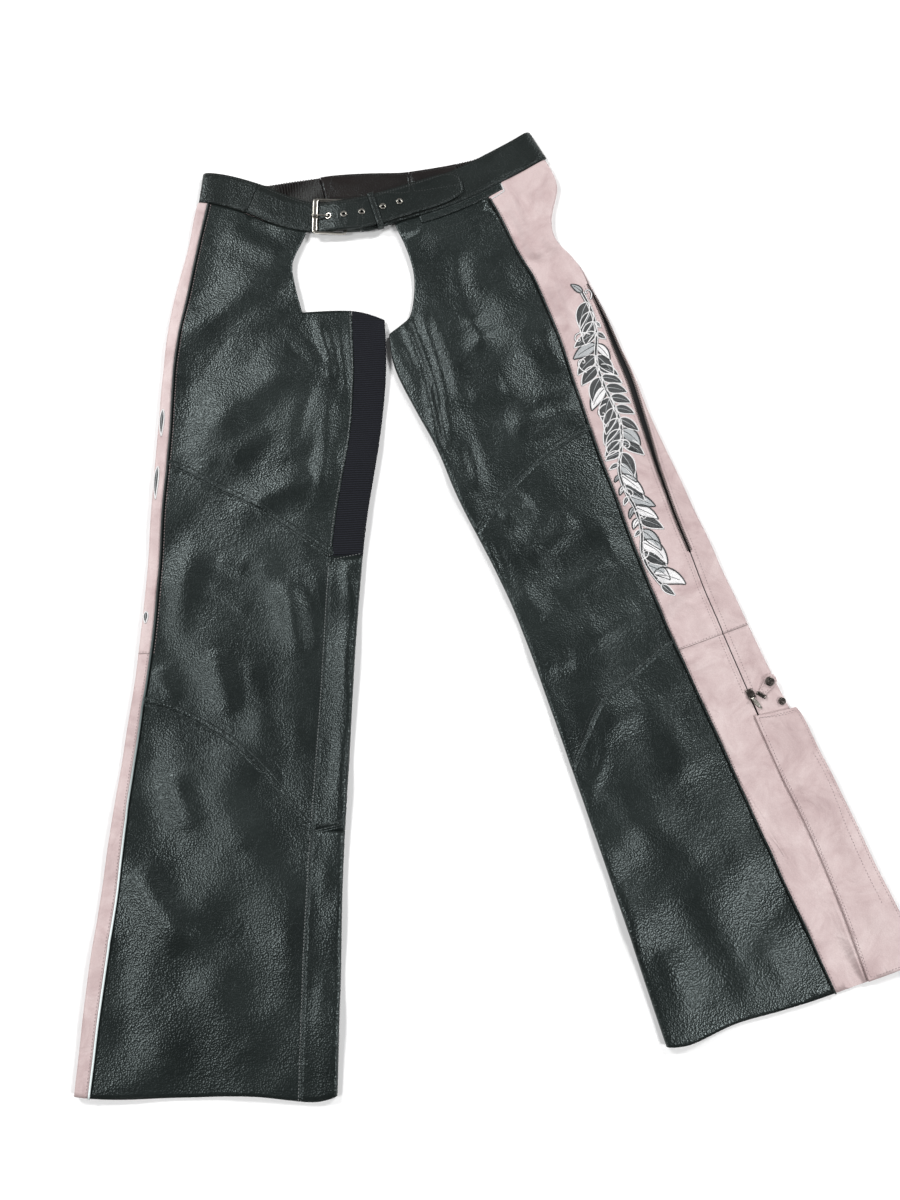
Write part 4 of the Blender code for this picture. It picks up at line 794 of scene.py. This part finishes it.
def strip(path, width, height, across=5, step=0.0012):
    """A low crowned strip. Width and height are numbers, or functions of the share gone."""
    path = resample(path, step)
    side = left_of(path)
    points = []
    for k, (centre, left) in enumerate(zip(path, side)):
        share = k / (len(path) - 1)
        wide = width(share) if callable(width) else width
        high = height(share) if callable(height) else height
        for u in np.linspace(-1, 1, across):
            x, y = centre + left * u * wide / 2
            hit = top_of(x, y)[0]
            if hit is None:
                return [], []
            last = hit.z
            crown = math.sqrt(max(0.0, 1 - u ** 4))
            points.append((x, y, last + high * crown - SUNK * (1 - crown)))
        for u in (0.9, -0.9):
            x, y = centre + left * u * wide / 2
            points.append((x, y, max(last - 2 * SUNK, 0.0002)))
    ring = across + 2
    faces = [(r * ring + k, r * ring + (k + 1) % ring, (r + 1) * ring + (k + 1) % ring,
              (r + 1) * ring + k) for r in range(len(path) - 1) for k in range(ring)]
    end = (len(path) - 1) * ring
    faces += [tuple(reversed(range(ring))), tuple(end + k for k in range(ring))]
    return points, faces


def bridge(path, width=0.0042, groove=0.00085, clear=0.0030, step=0.0016, tallest=0.003):
    """A strip that closes a seam flush with the leather on both sides, with a fine groove."""
    path = resample(path, step)
    side = left_of(path)
    profile = ((-1, -0.0003), (-0.85, 0.0001), (-0.22, 0.00014), (0, -groove),
               (0.22, 0.00014), (0.85, 0.0001), (1, -0.0003), (0.9, -0.0010), (-0.9, -0.0010))
    points = []
    for centre, left in zip(path, side):
        near, far = top_of(*(centre - left * clear))[0], top_of(*(centre + left * clear))[0]
        if near is None or far is None or abs(near.z - far.z) > tallest:
            continue
        for u, rise in profile:
            share = 0.5 + 0.5 * u * width / 2 / clear
            x, y = centre + left * u * width / 2
            points.append((x, y, max(near.z + (far.z - near.z) * share + rise, 0.0004)))
    ring = len(profile)
    count = len(points) // ring
    faces = [(r * ring + (k + 1) % ring, r * ring + k, (r + 1) * ring + k,
              (r + 1) * ring + (k + 1) % ring) for r in range(count - 1) for k in range(ring)]
    end = (count - 1) * ring
    faces += [tuple(range(ring)), tuple(end + k for k in reversed(range(ring)))]
    return (points, faces) if count > 2 else ([], [])


# %% [markdown]
# ## Seams of the legs
#
# Two curved seams cross each leg. The allowance is turned up towards the thigh and stitched
# down with two rows, so a raised band with two lines of thread runs above each seam. The
# inner seam has one row in a lighter grey, and the opening's edges are turned and stitched.

# %% Seams and stitches of the black leather
SEAM_ROWS = (0.0020, 0.0056)         # distances of the two rows from a curved seam
BAND_MIDDLE, BAND_WIDTH, BAND_HEIGHT = 0.0036, 0.0064, 0.00050
CURVED_SEAMS = [(f"{leg}_front_{above}", f"{leg}_front_{below}")
                for leg in ("right", "left")
                for above, below in (("thigh", "knee"), ("knee", "shin"))]
seam_bands, black_rows = [], []
for above, below in CURVED_SEAMS:
    seam = rounded(seam_between(above, below), 2)
    seam_bands.append(strip(towards(seam, above, BAND_MIDDLE), BAND_WIDTH, BAND_HEIGHT))
    black_rows += [towards(seam, above, away) for away in SEAM_ROWS]
    print(above, "seam", round(float(np.linalg.norm(np.diff(seam, axis=0), axis=1).sum()), 3), "m")

back_seam = photo_path(311, 833, 327, 829.5, 343, 825.5)
black_rows += [beside(back_seam, away) for away in SEAM_ROWS]

OPENING_EDGES = (
    photo_path(307, 238, 296, 252, 292.5, 267, 294, 281, 300, 300, 303, 311.5),
    photo_path(303, 314, 327, 313.4, 351, 313, 367.5, 315, 383, 321),
    photo_path(395.6, 233, 407.7, 254, 414.4, 278, 413, 307, 410.4, 320, 400, 330, 391, 336),
)
OPENING_INSET = (0.0045, 0.0045, -0.0045)
for edge, inset in zip(OPENING_EDGES, OPENING_INSET):
    black_rows.append(beside(edge, inset))
INNER_SEAM = (("right_front_thigh", "right_back_upper"), ("right_front_knee", "right_back_upper"),
              ("right_front_shin", "right_back_lower"))
inner_rims = [seam_between(*pair) for pair in INNER_SEAM]
inner_rim = np.vstack(inner_rims)
closed_seams = [rounded(seam_between(*pair), 2) for pair in CURVED_SEAMS]
closed_seams += [back_seam, inner_rim[np.argsort(-inner_rim[:, 1])]]
add_piece("leg_seam_bands", *gather(seam_bands), black_leather, "black_leather")
add_piece("leg_seams", *gather([bridge(path) for path in closed_seams if len(path)]),
          black_leather, "black_leather")
# short wide strips close the corners where the curved seams meet the inner one
seam_ends = (photo_path(331, 546, 328.8, 556.6, 328.4, 567),
             photo_path(311.2, 822, 309.6, 832, 309.4, 842))
add_piece("seam_ends", *gather([bridge(path, 0.0052, 0.0, 0.0042) for path in seam_ends]),
          black_leather, "black_leather")
add_piece("leg_stitches", *sew(black_rows), black_thread, "black_leather")

INSEAM_ROW = 0.0022
stretch_seam = seam_between("right_front_thigh", "right_stretch_panel")
inseam_rows = [towards(stretch_seam, "right_front_thigh", INSEAM_ROW)]
inseam_rows += [towards(rim, front, INSEAM_ROW) for (front, _), rim in zip(INNER_SEAM, inner_rims)]
inseam_rows.append(photo_path(333, 559, 347, 556.5, 361, 554))
add_piece("inseam_stitches", *sew(inseam_rows), grey_thread, "black_leather")


# %% [markdown]
# ## Belt, pocket and tab stitching
#
# The belt is folded leather stitched along both edges. Its rows are the outline of each belt
# solid, moved inwards. The hip pocket's welt has two rows and a pale cut edge at its end.

# %% Rows on the belt and the pocket
BELT_INSET, WELT_INSET = 0.0024, 0.0016
belt_rows = [inside(outline_of(node), BELT_INSET) for node in
             ("belt_tongue", "belt_left_front", "belt_right_side", "belt_keeper", "buckle_loop",
              "belt_back_centre", "belt_back_left")]
belt_rows += [photo_path(255.5, 191, 253.4, 202, 251, 213),
              photo_path(258.8, 192, 256.6, 203, 254.2, 214)]
belt_rows += [inside(outline_of("left_pocket_welt"), WELT_INSET),
              photo_path(431, 231, 460, 222.5, 490, 213.5),
              photo_path(423, 243, 450, 235, 476, 225.5, 490, 219)]
add_piece("belt_stitches", *sew(belt_rows), black_thread, "black_leather")
welt_edge = [on_surface(501.3, 184.0), on_surface(504.2, 191.4), on_surface(491.8, 199.0)]
add_piece("welt_pale_edge", *strip(welt_edge, 0.0022, 0.0009), white_thread, "black_leather")

# %% [markdown]
# ## Stitching on the pale panels
#
# One row runs beside each piping, rows run beside the zip, and the cross seams and the flap
# at the shin have rows of their own. The thread is a shade darker than the leather, so it
# reads as fine dots.

# %% Rows on the pale leather
PIPING_ROW, CROSS_ROW, FLAP_INSET, TAB_INSET = 0.0034, 0.0018, 0.0030, 0.0016
ZIP_LINE = photo_path(577, 264, 586, 284, 602, 319, 620, 362, 640, 410, 643, 424, 650, 445,
                      655, 473, 662, 497, 676.5, 526, 689, 557, 703, 589, 716, 623, 728, 651,
                      739.5, 674.5, 748, 692)
pale_rows = []
for leg in ("right", "left"):
    for part in ("upper", "lower"):
        strip_node = f"{leg}_side_front_{part}"
        piping_seam = seam_between(strip_node, f"{leg}_piping")
        pale_rows.append(towards(piping_seam, strip_node, PIPING_ROW))
    for side in ("front", "back"):
        upper = f"{leg}_side_{side}_upper"
        cross = seam_between(upper, f"{leg}_side_{side}_lower")
        pale_rows.append(towards(cross, upper, CROSS_ROW))
pale_rows += [inside(outline_of("left_flap"), FLAP_INSET), inside(outline_of("zip_tab"), TAB_INSET),
              photo_path(758, 718, 769, 717, 780, 715.5, 792, 712.6),
              photo_path(812, 752, 822, 770, 834, 797, 846, 830, 862, 865, 880, 903),
              photo_path(778, 765, 800, 810, 822, 855, 851, 932, 868, 975)]
add_piece("pale_stitches", *sew(pale_rows, thick=1.1), pink_thread, "pink_leather")


# %% [markdown]
# ## Zip
#
# The side zip stands open at the thigh, where its black tape shows between two rows of
# teeth, and closes to a thin line above the shin. Every tooth is a small block with a
# rounded head, set on the edge of the leather and reaching over the gap.

# %% Teeth along both edges
TOOTH_PITCH = 0.0021
TOOTH_SIZE = (0.00055, 0.0013, 0.0005)      # half length, half reach and half height
TOOTH_LIFT = 0.0002


def tooth():
    """Points and faces of one tooth: a block whose head is rounded."""
    half = ((-1, -1), (1, -1), (1, 0.35), (0.45, 1), (-0.45, 1), (-1, 0.35))
    points = [(x, y, z) for z in (-1, 1) for x, y in half]
    faces = [tuple(reversed(range(6))), tuple(range(6, 12))]
    faces += [(k, (k + 1) % 6, 6 + (k + 1) % 6, 6 + k) for k in range(6)]
    return np.array(points, float), faces


TOOTH_POINTS, TOOTH_FACES = tooth()


def teeth_along(path, inward):
    """A row of teeth whose heads point to the left of the path, or right if inward is -1."""
    teeth = []
    path = resample(path, TOOTH_PITCH)
    for start, end in zip(path[:-1], path[1:]):
        place, facing = top_of(*(start + end) / 2)
        if place is None:
            continue
        run = Vector((*(end - start), 0)).normalized()
        side = Vector((-run.y, run.x, 0)) * inward
        axes = np.array([run * TOOTH_SIZE[0], side * TOOTH_SIZE[1],
                         Vector((0, 0, TOOTH_SIZE[2]))])
        teeth.append((TOOTH_POINTS @ axes + np.array(place) + (0, 0, TOOTH_LIFT), TOOTH_FACES))
    return gather(teeth)


tape = tree_of(pieces["left_zip_tape"].data)


def zip_gap(line, reach=0.013):
    """Both edges of the opening: where the tape is the first thing that a ray meets."""
    front, back = [], []
    line = resample(line, 0.002)
    left = left_of(line)
    offsets = np.arange(-reach, reach, 0.00025)
    for centre, side in zip(line, left):
        shows = []
        for away in offsets:
            top, band = (drop(tree, *(centre + side * away))[0] for tree in (leather, tape))
            if top and band and abs(top.z - band.z) < 0.00005:
                shows.append(away)
        if len(shows) > 1:
            front.append(centre + side * shows[0])
            back.append(centre + side * shows[-1])
    return np.array(front), np.array(back)


front_edge, back_edge = zip_gap(ZIP_LINE)
print("zip opening, mm:", (1000 * np.linalg.norm(front_edge - back_edge, axis=1)[::12]).round(1))
ZIP_CLOSES = on_surface(686, 552).y      # the teeth meet below this line
TOOTH_SEAT = 0.0007                      # how far from the edge a tooth sits
ZIP_ROW = 0.0050                         # and a row of stitches
open_part = front_edge[:, 1] > ZIP_CLOSES
closed_part = rounded(0.5 * (front_edge + back_edge)[~open_part], 1)
zip_teeth = gather([teeth_along(beside(front_edge[open_part], -TOOTH_SEAT, TOOTH_PITCH), 1),
                    teeth_along(beside(back_edge[open_part], TOOTH_SEAT, TOOTH_PITCH), -1)])
add_piece("zip_teeth", *zip_teeth, gunmetal, "zip_tape")

# the closed part: the leather meets over the tape. A black strip in the groove stands for the dark
# tape below and for painted shade in the gap
LIPS_CLEAR = 0.0056
lips = bridge(closed_part, width=0.0074, groove=0.0006, clear=LIPS_CLEAR)
add_piece("zip_lips", *lips, pale_leather, "pink_leather")
line = bridge(closed_part, width=0.0012, groove=-0.0002, clear=LIPS_CLEAR)
add_piece("zip_line", *line, tape_cloth, "zip_tape")
zip_rows = [beside(front_edge, -ZIP_ROW), beside(back_edge, ZIP_ROW)]
add_piece("zip_stitches", *sew(zip_rows, thick=1.1), pink_thread, "pink_leather")

# %% [markdown]
# ## Embroidery
#
# The pale panel carries dense satin embroidery in black, white and silver. Here it is a
# plain climbing vine: a stem of two white cords on black, with leaves to both sides that
# keep clear of the piping and the zip. Most leaves are black satin with a white cord round
# the edge and a silver vein; others are silver or white with a black edge. The shapes are
# strips, so the thread has real height and catches the light as the real one does.

# %% Satin thread
def make_satin(name, dark, light, roughness):
    material, shader = new_material(name, light, roughness)
    place = place_node(material)
    threads = add_node(material, "ShaderNodeTexWave",
                       {"Vector": place, "Scale": 420.0, "Distortion": 1.2, "Detail": 2.0},
                       bands_direction="DIAGONAL")
    # the darker bands between the threads are painted shade
    link(material, ramp(material, threads.outputs["Fac"], [(0.15, dark), (0.75, light)]),
         shader.inputs["Base Color"])
    link(material, bump(material, threads.outputs["Fac"], 0.6, 0.0003), shader.inputs["Normal"])
    shader.inputs["Sheen Weight"].default_value = 0.25
    return material


satin_black = make_satin("satin_black", (0.006, 0.007, 0.008), (0.030, 0.034, 0.036), 0.46)
satin_white = make_satin("satin_white", (0.52, 0.51, 0.52), (0.88, 0.87, 0.87), 0.40)
satin_silver = make_satin("satin_silver", (0.20, 0.21, 0.22), (0.48, 0.50, 0.51), 0.36)


# %% Leaves
BLACK, SILVER, WHITE = "black", "silver", "white"
LEAF_THREADS = (BLACK, SILVER, WHITE)
embroidery = {BLACK: [], SILVER: [], WHITE: []}      # strips of each thread
LEAF_PIECES = 14             # straight bits that make a leaf's middle line
LEAF_HEIGHT = 0.00050
EDGE_WIDTH, EDGE_HEIGHT = 0.00185, 0.00090
VEIN_WIDTH, VEIN_HEIGHT, VEIN_SHARE = 0.0014, 0.00095, 0.8


def direction(heading):
    return np.array((math.cos(heading), math.sin(heading)))


def bent_line(start, heading, length, bend):
    """A path that leaves start at a heading and turns by bend over its length."""
    points = [np.array(start, float)]
    for k in range(LEAF_PIECES):
        turn = heading + bend * (k + 0.5) / LEAF_PIECES
        points.append(points[-1] + length / LEAF_PIECES * direction(turn))
    return np.array(points)


def leaf_width(share):
    """The outline of a leaf: full near its foot and pointed at its tip."""
    return max(0.04, math.sin(math.pi * share ** 0.72) ** 0.85)


def add_leaf(start, heading, length, width, bend, thread=BLACK):
    line = bent_line(start, heading, length, bend)
    edge_thread, vein_thread = (WHITE, SILVER) if thread == BLACK else (BLACK, BLACK)
    embroidery[thread].append(
        strip(line, lambda s: width * leaf_width(s), LEAF_HEIGHT, 7, 0.0018))
    reach = 0.5 * width * np.array([leaf_width(s) for s in np.linspace(0, 1, len(line))])
    for side in (1, -1):
        edge = line + side * left_of(line) * reach[:, None]
        embroidery[edge_thread].append(strip(edge, EDGE_WIDTH, EDGE_HEIGHT, step=0.002))
    vein = line[1:int(len(line) * VEIN_SHARE)]
    embroidery[vein_thread].append(
        strip(vein, lambda s: VEIN_WIDTH * (1 - 0.6 * s), VEIN_HEIGHT, step=0.002))


FENCE_CLEAR = 0.0042         # leaves stop this far from the piping and the zip


def room_to(start, heading, fences):
    """How far a line runs before it comes close to one of the fences, up to 40 mm."""
    for k in range(4, 40):
        place = start + direction(heading) * k * 0.001
        if min(np.linalg.norm(fence - place, axis=1).min() for fence in fences) < FENCE_CLEAR:
            return k * 0.001
    return 0.040


# %% The stem and its leaves
STEM = photo_path(582, 293, 592, 312, 597, 335, 595, 358, 603, 384, 613, 404, 622, 424,
                  622, 448, 618, 470, 625, 492, 637, 510, 643, 532, 641, 553, 649, 570, 662, 584)
LEAF_PITCH, SHORTEST_LEAF = 0.0142, 0.009
# ranges that the leaves are drawn from
LEAF_ANGLE = (50, 72)        # degrees off the stem
LEAF_LENGTH = (0.030, 0.040)
LEAF_FULLNESS = (0.40, 0.50)  # width to length
LEAF_BEND = (0.3, 0.8)
CORD_AWAY = 0.0016           # from the stem's middle to each of its white cords
fences = [resample(ZIP_LINE, 0.002),
          resample(seam_between("left_side_front_upper", "left_piping"), 0.002)]
stem_points = resample(STEM, LEAF_PITCH)
stem_run = np.gradient(stem_points, axis=0)
draw = random.Random(7)
for k, (place, run) in enumerate(zip(stem_points[1:-1], stem_run[1:-1])):
    mixed = k > 0.5 * len(stem_points) or k % 4 == 0      # the threads change along the stem
    for side in (1, -1):
        heading = math.atan2(run[1], run[0]) + side * math.radians(draw.uniform(*LEAF_ANGLE))
        room = room_to(place, heading, fences)
        if room < SHORTEST_LEAF:
            continue
        length = min(room, draw.uniform(*LEAF_LENGTH))
        add_leaf(place, heading, length, length * draw.uniform(*LEAF_FULLNESS),
                 -side * draw.uniform(*LEAF_BEND),
                 LEAF_THREADS[(k + (side > 0)) % 3] if mixed else BLACK)
heading = math.atan2(stem_run[-1][1], stem_run[-1][0])
add_leaf(stem_points[-1], heading, 0.020, 0.0085, 0.2)
add_leaf(stem_points[0], heading + math.pi, 0.018, 0.0075, 0.3, SILVER)
embroidery[BLACK].append(strip(STEM, 0.0062, 0.0005))
embroidery[WHITE] += [strip(beside(STEM, away, 0.0012), 0.0015, 0.0010)
                      for away in (CORD_AWAY, -CORD_AWAY)]


# %% Curls, and the leaves that show at the far edge of the other leg
# Columns: pixel x and y, heading in degrees, size in metres, and 1 for a left turn.
CURLS = ((590, 335, 150, 0.030, 1), (587, 372, 160, 0.028, -1), (606, 404, 200, 0.026, 1),
         (617, 440, 20, 0.026, -1), (620, 492, 40, 0.024, -1), (634, 512, 30, 0.024, -1),
         (642, 560, 20, 0.022, 1), (590, 300, 60, 0.020, 1))
CURL_PIECES = 34
PIXEL = 0.00113              # metres to a pixel of the photograph, near the edge of a leg
# Columns: pixel x and y, and length in pixels.
FAR_LEAVES = ((163.5, 410, 30), (158.5, 467, 36), (147, 612, 12))
FAR_LEAF_WIDTH = 4.6 * PIXEL


def curl(start, heading, size, hand):
    """A tendril that winds into a spiral. Hand is 1 for a left turn."""
    place = np.array(tuple(start), float)
    points = [place]
    for k in range(CURL_PIECES):
        share = k / (CURL_PIECES - 1)
        heading += hand * (0.05 + 0.30 * share)
        place = place + size * 0.055 * (1 - 0.72 * share) * direction(heading)
        points.append(place)
    return np.array(points)


for x, y, turn, size, hand in CURLS:
    line = curl(on_surface(x, y), math.radians(turn), size, hand)
    embroidery[BLACK].append(strip(line, lambda s: 0.0046 * (1 - 0.4 * s), 0.00035))
    embroidery[WHITE].append(strip(line, lambda s: 0.0022 * (1 - 0.3 * s), 0.00095))
for x, y, length in FAR_LEAVES:
    add_leaf(on_surface(x, y), math.radians(-96), length * PIXEL, FAR_LEAF_WIDTH, 0.2)
for thread, satin in ((BLACK, satin_black), (WHITE, satin_white), (SILVER, satin_silver)):
    add_piece(f"embroidery_{thread}", *gather(embroidery[thread]), satin, "pink_leather")

# %% [markdown]
# ## Floor and light
#
# The photograph is a cut-out on white under soft indoor light. Four soft lamps stand far out
# above a pale floor. Flat leather then mirrors none of them, and only the folds that face
# a lamp shine, as in the photograph.

# %% Floor
FLOOR_SIZE, FLOOR_HEIGHT = 60.0, -0.0006
bpy.ops.mesh.primitive_plane_add(size=FLOOR_SIZE, location=(0, 0, FLOOR_HEIGHT))
floor = bpy.context.object
floor.name = "pale_floor"
floor_paper, _ = new_material("floor_paper", (0.93, 0.93, 0.93), 0.9)
floor.data.materials.append(floor_paper)


# %% Lamps
# Columns: name, place, the point it aims at, side in metres, and power in watts.
LAMPS = (("window", (-2.1, 1.7, 2.1), (-0.1, 0.0, 0), 0.7, 66),
         ("ceiling", (1.7, 2.0, 2.2), (0, 0.0, 0), 0.6, 58),
         ("left_fill", (-2.0, -0.6, 2.0), (0, -0.1, 0), 0.7, 34),
         ("right_fill", (1.9, -1.2, 2.0), (0.1, -0.2, 0), 0.7, 46))
WORLD_LIGHT = 0.10

for name, place, aim, side, power in LAMPS:
    data = bpy.data.lights.new(name, "AREA")
    data.shape = "RECTANGLE"
    data.size = data.size_y = side
    data.energy = power
    lamp = add_object(name, data)
    lamp.location = place
    lamp.rotation_euler = (Vector(aim) - Vector(place)).to_track_quat("-Z", "Y").to_euler()
world = bpy.data.worlds.new("studio")
world.use_nodes = True
background = world.node_tree.nodes["Background"]
background.inputs["Color"].default_value = (1, 1, 1, 1)
background.inputs["Strength"].default_value = WORLD_LIGHT
bpy.context.scene.world = world
bpy.context.scene.view_settings.view_transform = "Standard"
